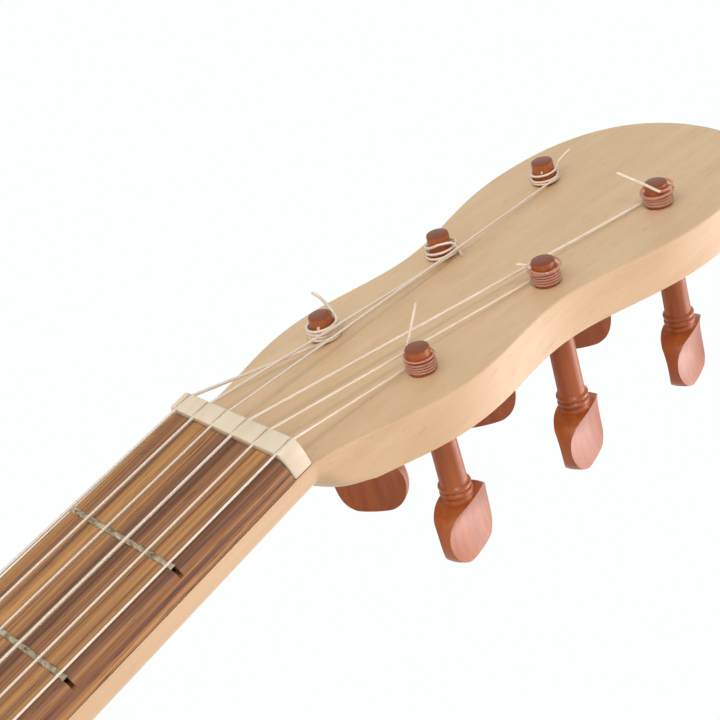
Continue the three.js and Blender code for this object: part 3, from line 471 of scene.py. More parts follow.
@dataclass(frozen=True)
class Rosette:
    """Inlaid rings round the soundhole, as colours by distance from its centre."""

    hole_z: float = -464.0
    rings: Rows = ((46.0, 47.0), (49.0, 50.2), (50.2, 55.8), (55.8, 57.0), (59.0, 60.0))
    light_ring: int = 2
    inlay: Colour = srgb(60, 36, 24)
    pale: Colour = srgb(214, 178, 128)
    tiles: int = 96

    def colour(self, graph: Graph, vector: Socket, ground: Socket) -> Socket:
        """Lays the rings over the soundboard's own colour.

        Args:
            graph: The material's graph.
            vector: Coordinates in the neck's frame.
            ground: The soundboard's own colour.

        Returns:
            The colour with the rings on it.
        """
        middle = (0, 0, self.hole_z * MM)
        centred = graph.add("VectorMath", {0: vector, 1: middle}, operation="SUBTRACT").outputs[0]
        parts = graph.add("SeparateXYZ", {0: centred}).outputs
        squares = [graph.maths("POWER", parts[axis], 2.0) for axis in (0, 2)]
        radius = graph.maths("SQRT", graph.maths("ADD", *squares))
        angle = graph.maths("ARCTAN2", parts[0], parts[2])
        around = graph.maths("MULTIPLY", angle, self.tiles / math.tau)
        chequer = graph.maths("GREATER_THAN", graph.maths("FRACT", around), 0.5)
        colour = ground
        for index, (inner, outer) in enumerate(self.rings):
            inside = graph.maths("MULTIPLY", graph.maths("GREATER_THAN", radius, inner * MM),
                                 graph.maths("LESS_THAN", radius, outer * MM))
            fill = graph.blend(chequer, self.pale, self.inlay) if index == self.light_ring else self.inlay
            colour = graph.blend(inside, colour, fill)
        return colour


@dataclass(frozen=True)
class GrowthRings:
    """Fine straight lines of late wood across a spruce board, under the rosette."""

    lines: float = 210.0
    distortion: float = 1.2
    detail: float = 2.0
    detail_scale: float = 0.4
    line_edge: float = 0.72  # the wave where a line starts
    strength: float = 0.38
    late_wood: Colour = srgb(176, 128, 78)

    def colour(self, graph: Graph, vector: Socket, ground: Socket) -> Socket:
        """Lays the lines and then the rosette over the spruce.

        Args:
            graph: The material's graph.
            vector: Coordinates in the neck's frame.
            ground: The spruce's own colour.

        Returns:
            The colour of the soundboard.
        """
        inputs = {"Vector": vector, "Scale": self.lines, "Distortion": self.distortion,
                  "Detail": self.detail, "Detail Scale": self.detail_scale}
        wave = graph.add("TexWave", inputs, bands_direction="X").outputs["Fac"]
        line = graph.spread(wave, self.line_edge, 1.0, (0.0, self.strength))
        return Rosette().colour(graph, vector, graph.blend(line, ground, self.late_wood))


@dataclass(frozen=True)
class EndGrain:
    """The flat end of a peg, where the cut grain drinks more stain."""

    low: float = -0.0002  # the stain starts at this height above the nut's top, in metres
    high: float = 0.0001
    strength: float = 0.62
    stain: Colour = srgb(84, 30, 6)

    def colour(self, graph: Graph, vector: Socket, ground: Socket) -> Socket:
        """Darkens the wood above the shank.

        Args:
            graph: The material's graph.
            vector: Coordinates in the pegs' frame.
            ground: The peg's own colour.

        Returns:
            The colour with the darker end.
        """
        height = graph.add("SeparateXYZ", {0: vector}).outputs[2]
        share = graph.spread(height, self.low, self.high, (0.0, self.strength))
        return graph.blend(share, ground, self.stain)


class Finish(Enum):
    """Every finish on the guitar and its stand."""

    MAPLE = Wood("maple", Run.NECK, srgb(220, 188, 150), srgb(214, 180, 141), srgb(206, 171, 131),
                 srgb(176, 138, 98), across=170, along=11, pore_size=7, pore_share=0.2, roughness=0.5,
                 coat=0.1, shine=0.4, bump=0.02, zone_share=0.4, spread=(0.24, 0.76))
    RIB_MAPLE = Wood("rib_maple", Run.WRAPPED, srgb(226, 196, 158), srgb(216, 183, 143),
                     srgb(202, 166, 124), srgb(176, 138, 98), across=150, along=7, pore_size=7,
                     pore_share=0.2, roughness=0.4, coat=0.35, bump=0.02)
    SPRUCE = Wood("spruce", Run.NECK, srgb(233, 204, 158), srgb(226, 194, 146), srgb(216, 181, 131),
                  srgb(190, 148, 98), across=120, along=2.5, pore_size=5, pore_share=0.12,
                  roughness=0.42, coat=0.3, bump=0.02, marks=GrowthRings().colour)
    BOARD = Wood("fingerboard_wood", Run.NECK, srgb(192, 140, 84), srgb(150, 102, 66), srgb(98, 62, 46),
                 srgb(52, 32, 24), across=900, along=9, pore_size=2.6, pore_share=0.85, zones=0.12,
                 zone_share=1.1, roughness=0.5, shine=0.3, bump=0.06, spread=(0.3, 0.7))
    DARK = Wood("dark_wood", Run.NECK, srgb(84, 50, 34), srgb(62, 36, 25), srgb(42, 24, 18),
                srgb(22, 12, 9), across=260, along=9, pore_size=5, pore_share=0.6, roughness=0.36,
                coat=0.15, bump=0.04)
    PEG = Wood("peg_wood", Run.PEG, srgb(171, 93, 44), srgb(161, 83, 38), srgb(152, 74, 34),
               srgb(138, 65, 29), across=420, along=34, pore_size=4, pore_share=0.15, roughness=0.38,
               coat=0.05, shine=0.4, bump=0.006, marks=EndGrain().colour)
    INNER = Wood("inner_wood", Run.NECK, srgb(222, 192, 148), srgb(210, 176, 130), srgb(194, 158, 112),
                 srgb(160, 122, 82), across=180, along=8, pore_share=0.3, roughness=0.75, bump=0.06)
    STAND_UP = Wood("stand_side_wood", Run.UPRIGHT, srgb(206, 158, 104), srgb(188, 138, 86),
                    srgb(162, 112, 66), srgb(118, 76, 42), across=110, along=4.5, pore_size=8,
                    pore_share=0.45, roughness=0.42, coat=0.2, bump=0.06)
    STAND_ACROSS = replace(STAND_UP, name="stand_rail_wood", run=Run.ACROSS)
    BONE = Smooth("bone", srgb(228, 211, 188), srgb(220, 200, 173), scale=240, roughness=0.35,
                  subsurface=0.15, stretch=(1.0, 1.0, 0.3))
    FRET = Smooth("fret_metal", srgb(196, 180, 152), srgb(128, 112, 90), scale=700, roughness=0.22,
                  metallic=0.75)
    NYLON = Smooth("nylon", srgb(255, 240, 224), srgb(252, 230, 208), scale=200, roughness=0.15,
                   uneven=0.05, transmission=0.22, ior=1.45, bump=0.0)
    TURNS = Smooth("nylon_turns", srgb(236, 178, 154), srgb(226, 160, 134), scale=200, roughness=0.14,
                   uneven=0.05, transmission=0.55, ior=1.5, bump=0.0)
    WOUND = Smooth("wound_wire", srgb(238, 222, 206), srgb(216, 194, 176), scale=1.0,
                   stretch=(1.0, 1.0, 4200.0), roughness=0.38, metallic=0.1, bump=0.03)
    CORK = Smooth("cork", srgb(184, 142, 98), srgb(138, 98, 62), scale=700, roughness=0.85, bump=0.5)


class Paintbox:
    """Builds each finish once and puts it on pieces."""

    def __init__(self) -> None:
        """Starts with the shared grain and no finish made."""
        self.grain = Grain().build()
        self.made: dict[Finish, bpy.types.Material] = {}

    def paint(self, piece: Piece, finish: Finish) -> Piece:
        """Gives a piece one finish all over.

        Args:
            piece: The piece, whose other materials are taken off.
            finish: Its finish.

        Returns:
            The same piece.
        """
        if finish not in self.made:
            self.made[finish] = finish.value.build(self.grain)
        piece.data.materials.clear()
        piece.data.materials.append(self.made[finish])
        return piece


# ------------------------------------------------------------------ mesh helpers


WELD = 1e-3  # corners closer than this become one, in millimetres
FLAT_WEIGHT = 80  # how far a large face outweighs a small one at their shared edge


def finished(bm: Shape, name: str, place: Matrix | None = None, sharp: float = 32.0) -> Piece:
    """Turns a bmesh into an object at the origin, smooth up to a given angle.

    Args:
        bm: The shape, which is used up.
        name: The object's name.
        place: The frame that the shape was made in, or None for the row frame in metres.
        sharp: Edges that turn by more than this, in degrees, stay sharp.

    Returns:
        The new object, linked into the scene.
    """
    if place is not None:
        bm.transform(place)
    mesh = bpy.data.meshes.new(name)
    bm.to_mesh(mesh)
    bm.free()
    mesh.shade_smooth()
    mesh.set_sharp_from_angle(angle=math.radians(sharp))
    piece = bpy.data.objects.new(name, mesh)
    bpy.context.scene.collection.objects.link(piece)
    return piece


def flatten(piece: Piece) -> Piece:
    """Makes large flat faces look flat right up to their rounded edges.

    Args:
        piece: A piece whose edges have been rounded.

    Returns:
        The same piece.
    """
    weights = piece.modifiers.new("flat_faces", "WEIGHTED_NORMAL")
    weights.keep_sharp = True
    weights.weight = FLAT_WEIGHT
    return piece


def merged_copy(node: str, reach: float = 2e-6, flat: float = 0.4) -> Shape:
    """Copies a CAD node's shape, with its corners merged and its flat faces whole.

    Args:
        node: The CAD node.
        reach: Corners closer than this, in metres, become one.
        flat: Faces that differ by less than this, in degrees, become one.

    Returns:
        The copy, in metres.
    """
    bm = bmesh.new()
    bm.from_mesh(frame["nodes"][node].data)
    bmesh.ops.remove_doubles(bm, verts=bm.verts, dist=reach)
    bmesh.ops.dissolve_limit(bm, angle_limit=math.radians(flat), verts=bm.verts, edges=bm.edges)
    return bm


def soften(bm: Shape, width: float, segments: int = 2, angle: float = 38.0) -> None:
    """Rounds the edges that turn by more than an angle.

    Args:
        bm: The shape.
        width: How far the rounding reaches, in the shape's own unit.
        segments: How many faces the rounding has.
        angle: The least turn of an edge that is rounded, in degrees.
    """
    turn = math.radians(angle)
    edges = [edge for edge in bm.edges if edge.is_manifold and edge.calc_face_angle(0) > turn]
    bmesh.ops.bevel(bm, geom=edges, offset=width, offset_type="OFFSET", segments=segments, profile=0.5,
                    affect="EDGES", clamp_overlap=True, material=-1)


def tube(path: Iterable[Vector], diameter: float, name: str, place: Matrix, sides: int = 10) -> Piece:
    """A round bar along a path, with closed ends.

    Args:
        path: Points in the frame given by place.
        diameter: The bar's thickness in millimetres.
        name: The object's name.
        place: The frame of the points.
        sides: How many sides the bar has.

    Returns:
        The bar as a mesh object.
    """
    curve = bpy.data.curves.new(name, "CURVE")
    curve.dimensions = "3D"
    curve.bevel_depth = diameter / 2 * MM
    curve.bevel_resolution = max(0, sides // 2 - 2)
    curve.use_fill_caps = True
    spline = curve.splines.new("POLY")
    points = [place @ point for point in path]
    spline.points.add(len(points) - 1)
    for spot, point in zip(spline.points, points):
        spot.co = (*point, 1.0)
    holder = bpy.data.objects.new(name, curve)
    bpy.context.scene.collection.objects.link(holder)
    bpy.context.view_layer.update()
    bm = bmesh.new()
    made = holder.evaluated_get(bpy.context.evaluated_depsgraph_get())
    bm.from_mesh(bpy.data.meshes.new_from_object(made))
    bpy.data.objects.remove(holder)
    bmesh.ops.remove_doubles(bm, verts=bm.verts, dist=WELD * MM)
    bmesh.ops.recalc_face_normals(bm, faces=bm.faces)
    return finished(bm, name, sharp=50)


def rounded_path(corners: Sequence[Vector], reach: float, steps: int = 6) -> list[Vector]:
    """A path through corners, with each inner corner turned in a small curve.

    Args:
        corners: The corners of the path.
        reach: How far from a corner its curve starts.
        steps: How many stretches each curve has.

    Returns:
        The points of the path.
    """
    path = [corners[0]]
    for before, corner, after in zip(corners, corners[1:], corners[2:]):
        start = corner + (before - corner).normalized() * min(reach, (before - corner).length / 2)
        end = corner + (after - corner).normalized() * min(reach, (after - corner).length / 2)
        for step in range(steps + 1):
            share = step / steps
            path.append(start.lerp(corner, share).lerp(corner.lerp(end, share), share))
    return [*path, corners[-1]]


def smooth_curve(points: Sequence[Vector], steps: int = 8) -> list[Vector]:
    """Draws a smooth curve through points.

    Args:
        points: The points.
        steps: How many stretches the curve has between each two.

    Returns:
        The points of the curve.
    """
    ends = [2 * points[0] - points[1], *points, 2 * points[-1] - points[-2]]
    curve = []
    for a, b, c, d in zip(ends, ends[1:], ends[2:], ends[3:]):
        for step in range(steps):
            t = step / steps
            bend = (2 * a - 5 * b + 4 * c - d) * t ** 2
            twist = (3 * b - a - 3 * c + d) * t ** 3
            curve.append(0.5 * (2 * b + (c - a) * t + bend + twist))
    return [*curve, points[-1]]


def spun(profile: Rows, segments: int) -> Shape:
    """Turns a shape round z, as on a lathe.

    Args:
        profile: Rows of height and radius that start and end on the axis.
        segments: How many faces go round.

    Returns:
        The closed shape.
    """
    bm = bmesh.new()
    rim = [bm.verts.new((radius, 0, height)) for height, radius in profile]
    edges = [bm.edges.new(pair) for pair in zip(rim, rim[1:])]
    bmesh.ops.spin(bm, geom=[*rim, *edges], cent=(0, 0, 0), axis=(0, 0, 1), angle=math.tau, steps=segments,
                   use_merge=True)
    bmesh.ops.remove_doubles(bm, verts=bm.verts, dist=WELD)
    bmesh.ops.recalc_face_normals(bm, faces=bm.faces)
    return bm


def prism(outline: Sequence[Vector], depth: Vector) -> Shape:
    """Draws a flat outline out into a solid.

    Args:
        outline: The outline's corners.
        depth: How far it is drawn out, and which way.

    Returns:
        The closed solid.
    """
    bm = bmesh.new()
    face = bm.faces.new([bm.verts.new(point) for point in outline])
    drawn = bmesh.ops.extrude_face_region(bm, geom=[face])["geom"]
    bmesh.ops.translate(bm, verts=[v for v in drawn if isinstance(v, bmesh.types.BMVert)], vec=depth)
    bmesh.ops.recalc_face_normals(bm, faces=bm.faces)
    return bm


def loft(rings: Sequence[Sequence[Vector]]) -> Shape:
    """Draws a ring out from place to place into a closed solid, capped at both ends.

    Args:
        rings: Where the ring lies in turn, each with the same number of points.

    Returns:
        The closed solid, with its normals outwards.
    """
    bm = bmesh.new()
    ring = [bm.verts.new(point) for point in rings[0]]
    edges = [bm.edges.new(pair) for pair in zip(ring, [*ring[1:], ring[0]])]
    bm.faces.new(ring[::-1])
    for places in rings[1:]:
        drawn = bmesh.ops.extrude_edge_only(bm, edges=edges)["geom"]
        edges = [part for part in drawn if isinstance(part, bmesh.types.BMEdge)]
        fresh = {part for part in drawn if isinstance(part, bmesh.types.BMVert)}
        ring = [next(edge.other_vert(vert) for edge in vert.link_edges if edge.other_vert(vert) in fresh)
                for vert in ring]
        for vert, place in zip(ring, places):
            vert.co = place
    bm.faces.new(ring)
    bmesh.ops.remove_doubles(bm, verts=bm.verts, dist=WELD)
    bmesh.ops.dissolve_degenerate(bm, edges=bm.edges, dist=WELD)
    bmesh.ops.recalc_face_normals(bm, faces=bm.faces)
    return bm


def combine(bm: Shape, tools: Sequence[Shape], operation: str = "DIFFERENCE") -> Shape:
    """Joins solids to a solid, or cuts them out of it, all in the same frame.

    Args:
        bm: The solid that is worked on.
        tools: The solids joined to it or cut out of it.
        operation: The Boolean modifier's operation.

    Returns:
        The combined shape; what was given is used up.
    """
    body = finished(bm, "being_worked")
    cutters = [finished(tool, "tool") for tool in tools]
    for cutter in cutters:
        step = body.modifiers.new("step", "BOOLEAN")
        step.object = cutter
        step.operation = operation
        step.solver = "EXACT"
    bpy.context.view_layer.update()
    result = bmesh.new()
    made = body.evaluated_get(bpy.context.evaluated_depsgraph_get())
    result.from_mesh(made.to_mesh())
    for used in (body, *cutters):
        bpy.data.objects.remove(used)
    return result


@dataclass
class Maker:
    """What every sub-assembly needs: the paint, and the body that its pieces ride on."""

    paintbox: Paintbox

    def settle(self, piece: Piece, finish: Finish, slot: str, body: str,
               replaced: Sequence[str] = ()) -> Piece:
        """Finishes a piece, hangs it on its body and hides the CAD nodes that it stands for.

        Args:
            piece: The new piece.
            finish: What it is finished with.
            slot: The record's material slot; not used.
            body: The body that it rides on.
            replaced: The CAD nodes that it stands for.

        Returns:
            The same piece.
        """
        self.paintbox.paint(piece, finish)
        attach(piece, body)
        if replaced:
            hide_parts(*replaced)
        log.info("%s rides on %s with %d faces", piece.name, body, len(piece.data.polygons))
        return piece

    def carve(self, node: str, finish: Finish, body: str, width: float, segments: int = 2,
              angle: float = 38.0) -> Piece:
        """Makes a CAD node's shape again with softened edges, in its place.

        Args:
            node: The CAD node.
            finish: What it is finished with.
            body: The body that it rides on.
            width: The rounding of its edges in millimetres.
            segments: How many faces the rounding has.
            angle: The least turn of an edge that is rounded, in degrees.

        Returns:
            The softened piece.
        """
        bm = merged_copy(node)
        soften(bm, width * MM, segments, angle)
        piece = flatten(finished(bm, node + "_worked"))
        slots = {row["node"]: row["material_slot"] for row in frame["record"]["subparts"]}
        return self.settle(piece, finish, slots[node], body, [node])

    def dress(self, node: str, finish: Finish) -> None:
        """Gives a CAD node that stays as it is its finish."""
        self.paintbox.paint(frame["nodes"][node], finish)
        log.info("%s stays, finished as %s", node, finish.value.name)


# ------------------------------------------------------------------ neck, head and fingerboard


NUT_WIDTH = 47.0
BOARD_WIDTH_AT_BODY = 54.0


@dataclass
class NeckWood(Maker):
    """Neck shaft, heel and peg head in one piece of wood."""

    root_z: float = -314.8
    depth_nut: float = 13.2
    depth_body: float = 18.0
    roundness: float = 2.2  # power of the shaft's curved back; a high one is squarer
    squareness: float = 30.0
    squaring: float = 1.25  # how late the back goes from round to square
    thickness: float = HEAD_THICKNESS
    blend_length: float = 13.0  # how far from the nut the shaft's shape runs out into the flat head
    shaft_stations: tuple[float, ...] = (-30, -15)  # rings near the nut, from the root of the face
    first_close_ring: int = -8  # from here to the flat head the rings lie a millimetre apart
    tilt_start: float = -4.0  # where the rings start to tilt with the head
    tilt_length: float = 12.0
    flat_from: float = 13.5  # from here the outline's own points set the rings
    rim: float = 0.55  # rounding of the head's edges
    shaft_rim: float = 0.04
    rim_length: float = 6.0
    rim_angles: tuple[float, ...] = (0, 22.5, 45, 67.5)
    back_rim_angles: tuple[float, ...] = (0, 30, 60, 90)
    curve_steps: int = 16
    back_steps: int = 13
    side_steps: int = 5
    heel_steps: int = 24
    heel_roundness: float = 0.95
    bore_front: float = 3.43
    bore_back: float = 3.68
    bore_beyond: float = 4.0
    bore_sides: int = 48
    # Half outline of the head from its top to the nut: across and along, then the handles between.
    stops: Rows = ((0, 178.3), (39.2, 131), (29.3, 80), (33.8, 44), (23.5, 0))
    leaving: Rows = ((26, 178.3), (39.2, 110), (29.3, 67), (33.8, 27))
    arriving: Rows = ((39.2, 160), (29.3, 96), (33.8, 58), (25.3, 16))
    # Rings of the heel: distance from the strings' plane, half width and reach up the neck.
    heel: Rows = ((15.2, 21.6, 34), (33.2, 18.9, 26), (51.2, 14.07, 16.9), (82.8, 12, 13))

    def build(self) -> None:
        """Joins shaft, head and heel, then bores the peg holes."""
        wood = combine(self.shaft_and_head(), [self.heel_block()], "UNION")
        wood = combine(wood, [self.bore(across, along) for across, along in PEG_ROWS])
        bmesh.ops.remove_doubles(wood, verts=wood.verts, dist=WELD)
        piece = flatten(finished(wood, "neck_and_head_worked", GUITAR, sharp=35))
        self.settle(piece, Finish.MAPLE, "maple", "guitar", ["neck_and_head"])

    def outline(self) -> list[tuple[Vector, Vector]]:
        """Draws half the head's outline, from the nut to its top.

        Returns:
            Its points, each with its outward direction.
        """
        points: list[Vector] = []
        for start, away, towards, stop in zip(self.stops, self.leaving, self.arriving, self.stops[1:]):
            curve = [Vector((*spot, 0)) for spot in (start, away, towards, stop)]
            points += interpolate_bezier(*curve, self.curve_steps + 1)[1 if points else 0:]
        points.reverse()
        rows = []
        for k, spot in enumerate(points):
            run = points[min(k + 1, len(points) - 1)] - points[max(k - 1, 0)]
            outward = Vector((run.y, -run.x)).normalized()
            rows.append((spot.xy, outward))
        rows[-1] = (rows[-1][0], Vector((0, 1)))
        return rows

    def ring(self, middle: Vector, down: Vector, column: Rows) -> list[Vector]:
        """A closed ring of points.

        Args:
            middle: The middle of its straight front edge.
            down: The direction from the front to the back.
            column: Rows of across, depth and shift up the neck, from the right front edge to the middle.

        Returns:
            The points, right side first.
        """
        up = Vector((0, -down.z, down.y))
        right = [middle + Vector((across, 0, 0)) + down * depth + up * shift
                 for across, depth, shift in column]
        left = [Vector((-spot.x, spot.y, spot.z)) for spot in right[:-1]]
        return [*right, *reversed(left)]

    def front_edge(self, half: float, rim: float, outward: Vector) -> Rows:
        """Rows for a rounded front edge.

        Args:
            half: Half the width.
            rim: The rounding's radius.
            outward: The outline's outward direction there.

        Returns:
            Rows of across, depth and shift up the neck.
        """
        arcs = [math.radians(angle) for angle in self.rim_angles]
        insets = [rim * (1 - math.sin(a)) for a in arcs]
        return [(half - inset * outward.x, rim * (1 - math.cos(a)), -inset * outward.y)
                for inset, a in zip(insets, arcs)]

    def rounded_column(self, half: float, depth: float, power: float, rim: float) -> Rows:
        """Rows for the shaft's curved back.

        Args:
            half: Half the width.
            depth: How deep the shaft is.
            power: The power of its curve.
            rim: The rounding of its front edge.

        Returns:
            Rows of across, depth and shift up the neck.
        """
        rows = list(self.front_edge(half, rim, Vector((1, 0))))
        for angle in fan(math.pi / 2, self.back_steps):
            across = half * max(0.0, math.cos(angle)) ** (2 / power)
            rows.append((across, rim + (depth - rim) * math.sin(angle) ** (2 / power), 0))
        rows[-1] = (0.0, depth, 0)
        return rows

    def square_column(self, half: float, outward: Vector) -> Rows:
        """Rows for the flat head, with both edges rounded.

        Args:
            half: Half the width.
            outward: The outline's outward direction there.

        Returns:
            Rows of across, depth and shift up the neck.
        """
        rows = list(self.front_edge(half, self.rim, outward))
        sides = self.side_steps
        rows += [(half, mix(self.rim, self.thickness - self.rim, k / sides), 0) for k in range(sides)]
        for angle in self.back_rim_angles:
            inset = self.rim * (1 - math.cos(math.radians(angle)))
            depth = self.thickness - self.rim * (1 - math.sin(math.radians(angle)))
            rows.append((half - inset * outward.x, depth, -inset * outward.y))
        across, _, shift = rows[-1]
        return rows + [(across * (1 - k / sides), self.thickness, shift) for k in range(1, sides + 1)]

    def shaft_ring(self, outline: Sequence[tuple[Vector, Vector]], station: float) -> list[Vector]:
        """A ring of the shaft, or of its run into the head.

        Args:
            outline: The head's outline.
            station: How far it lies beyond the root of the face.

        Returns:
            The ring's points.
        """
        share = max(0.0, station / self.blend_length)
        lean = HEAD_ANGLE * ease((station - self.tilt_start) / self.tilt_length)
        down = Vector((0, math.cos(lean), -math.sin(lean)))
        if station <= 0:
            z = FACE_ROOT.z + station
            middle = Vector((0, FACE_ROOT.y, z))
            along_board = max(0.0, z / self.root_z)
            half = mix(NUT_WIDTH, BOARD_WIDTH_AT_BODY, along_board) / 2
            depth = mix(self.depth_nut, self.depth_body, along_board)
        else:
            middle = ON_GUITAR @ Vector((0, station, 0))
            half = self.half_width(outline, station)
            depth = mix(self.depth_nut, self.thickness, ease(share))
        power = self.roundness * (self.squareness / self.roundness) ** (share ** self.squaring)
        rim = mix(self.shaft_rim, self.rim, ease(station / self.rim_length))
        return self.ring(middle, down, self.rounded_column(half, depth, power, rim))

    def shaft_and_head(self) -> Shape:
        """Draws the shaft and the head as one run of rings.

        Returns:
            The solid, before the heel and the peg holes.
        """
        outline = self.outline()
        start = self.root_z - FACE_ROOT.z
        close = range(self.first_close_ring, round(self.blend_length))
        stations = (start, start / 2, *self.shaft_stations, *close)
        rings = [self.shaft_ring(outline, station) for station in stations]
        down = Vector((0, math.cos(HEAD_ANGLE), -math.sin(HEAD_ANGLE)))
        for spot, outward in outline:
            if spot.y > self.flat_from:
                middle = ON_GUITAR @ Vector((0, spot.y, 0))
                rings.append(self.ring(middle, down, self.square_column(spot.x, outward)))
        return loft(rings)

    def half_width(self, outline: Sequence[tuple[Vector, Vector]], along: float) -> float:
        """Half the head's width at a place along it.

        Args:
            outline: The head's outline.
            along: How far along the head.

        Returns:
            The half width.
        """
        for (near, _), (far, _) in zip(outline, outline[1:]):
            if near.y <= along <= far.y:
                return mix(near.x, far.x, (along - near.y) / (far.y - near.y))
        return outline[0][0].x

    def heel_block(self) -> Shape:
        """Draws the heel, flat against the ribs and round towards the head.

        Returns:
            The heel as a solid.
        """
        rows = smooth_curve([Vector(row) for row in self.heel])
        rings = []
        for y, half, reach in rows:
            ring = []
            for angle in fan(math.pi, self.heel_steps):
                across = -half * math.copysign(abs(math.cos(angle)) ** self.heel_roundness, math.cos(angle))
                along = self.root_z + reach * math.sin(angle) ** self.heel_roundness
                ring.append(Vector((across, y, along)))
            rings.append(ring)
        return loft(rings)

    def bore(self, across: float, along: float) -> Shape:
        """Makes a tapered peg hole as a solid to cut out.

        Args:
            across: Its place across the head.
            along: Its place along the head.

        Returns:
            The solid, which goes past both faces.
        """
        slope = (self.bore_back - self.bore_front) / self.thickness
        beyond = self.bore_beyond
        rows = [(beyond, 0), (beyond, self.bore_front - slope * beyond),
                (-self.thickness - beyond, self.bore_back + slope * beyond), (-self.thickness - beyond, 0)]
        bm = spun(rows, self.bore_sides)
        bm.transform(ON_GUITAR @ Matrix.Translation((across, along, 0)))
        return bm


@dataclass
class Neck(Maker):
    """Fingerboard, frets, nut and heel cap."""

    board_front: float = 1.3
    board_back: float = 7.8
    body_fret: int = 12
    fret_count: int = 17
    fret_inset: float = 2.2
    crown_half: float = 0.85
    crown_height: float = 0.65
    crown_steps: int = 10
    nut_rise: float = 0.35  # its top above the strings' middles
    nut_across: float = 2.0  # how far the rounding of its ends reaches
    nut_down: float = 5.0
    nut_round_steps: int = 8
    slot_clearance: float = 0.06
    slot_beyond: float = 1.0
    slot_height: float = 3.0
    slot_steps: int = 6

    def build(self) -> None:
        """Makes and dresses every piece on the neck."""
        self.carve("heel_cap", Finish.DARK, "guitar", width=0.5)
        self.carve("fingerboard", Finish.BOARD, "guitar", width=0.12, segments=1, angle=60)
        self.nut()
        for n in range(1, self.fret_count + 1):
            self.fret(n)

    def nut(self) -> None:
        """The nut, with rounded ends and a close slot for each string."""
        half = NUT_WIDTH / 2
        arc = fan(math.pi / 2, self.nut_round_steps)
        right = [Vector((half - self.nut_across * (1 - math.cos(a)),
                         self.nut_down * (1 - math.sin(a)) - self.nut_rise, 0)) for a in arc]
        left = [Vector((-spot.x, spot.y, 0)) for spot in reversed(right)]
        outline = [Vector((half, self.board_back, 0)), *right, *left, Vector((-half, self.board_back, 0))]
        bm = prism(outline, Vector((0, 0, NUT_THICKNESS)))
        soften(bm, width=0.5, segments=3, angle=50)
        slots = [self.slot_cutter(n) for n in STRINGS]
        piece = finished(combine(bm, slots), "nut_worked", GUITAR, sharp=35)
        self.settle(piece, Finish.BONE, "bone", "guitar", ["nut"])

    def slot_cutter(self, n: int) -> Shape:
        """Makes a string's slot as a solid to cut out: round below, open above.

        Args:
            n: The string's number.

        Returns:
            The solid, which slopes down towards the head.
        """
        reach = STRING_DIAMETERS[n - 1] / 2 + self.slot_clearance
        around = fan(math.pi, self.slot_steps)
        x, start = string_across(n, 0), -self.slot_beyond
        outline = [Vector((x + reach * math.cos(a), reach * math.sin(a), start)) for a in around]
        outline += [Vector((side, -self.slot_height, start)) for side in (x - reach, x + reach)]
        length = NUT_THICKNESS + 2 * self.slot_beyond
        return prism(outline, Vector((0, length * (NUT_BREAK / NUT_THICKNESS), length)))

    def fret_place(self, n: int) -> float:
        """Where fret n lies along the neck."""
        return -SCALE_LENGTH * (1 - 2 ** (-n / FRETS_TO_OCTAVE))

    def fret(self, n: int) -> None:
        """Makes the crown of a fret, over its slot in the board.

        Args:
            n: The fret's number.
        """
        z = self.fret_place(n)
        share = z / self.fret_place(self.body_fret)
        half = mix(NUT_WIDTH, BOARD_WIDTH_AT_BODY, share) / 2 - self.fret_inset
        arc = fan(math.pi, self.crown_steps)
        outline = [Vector((-half, self.board_front - self.crown_height * math.sin(a),
                           z - self.crown_half * math.cos(a))) for a in arc]
        piece = finished(prism(outline, Vector((2 * half, 0, 0))), f"fret_{n}_crown", GUITAR)
        replaced = [f"fret_{n}"] if n <= self.body_fret else []
        self.settle(piece, Finish.FRET, "fret_metal", "guitar", replaced)


# ------------------------------------------------------------------ pegs


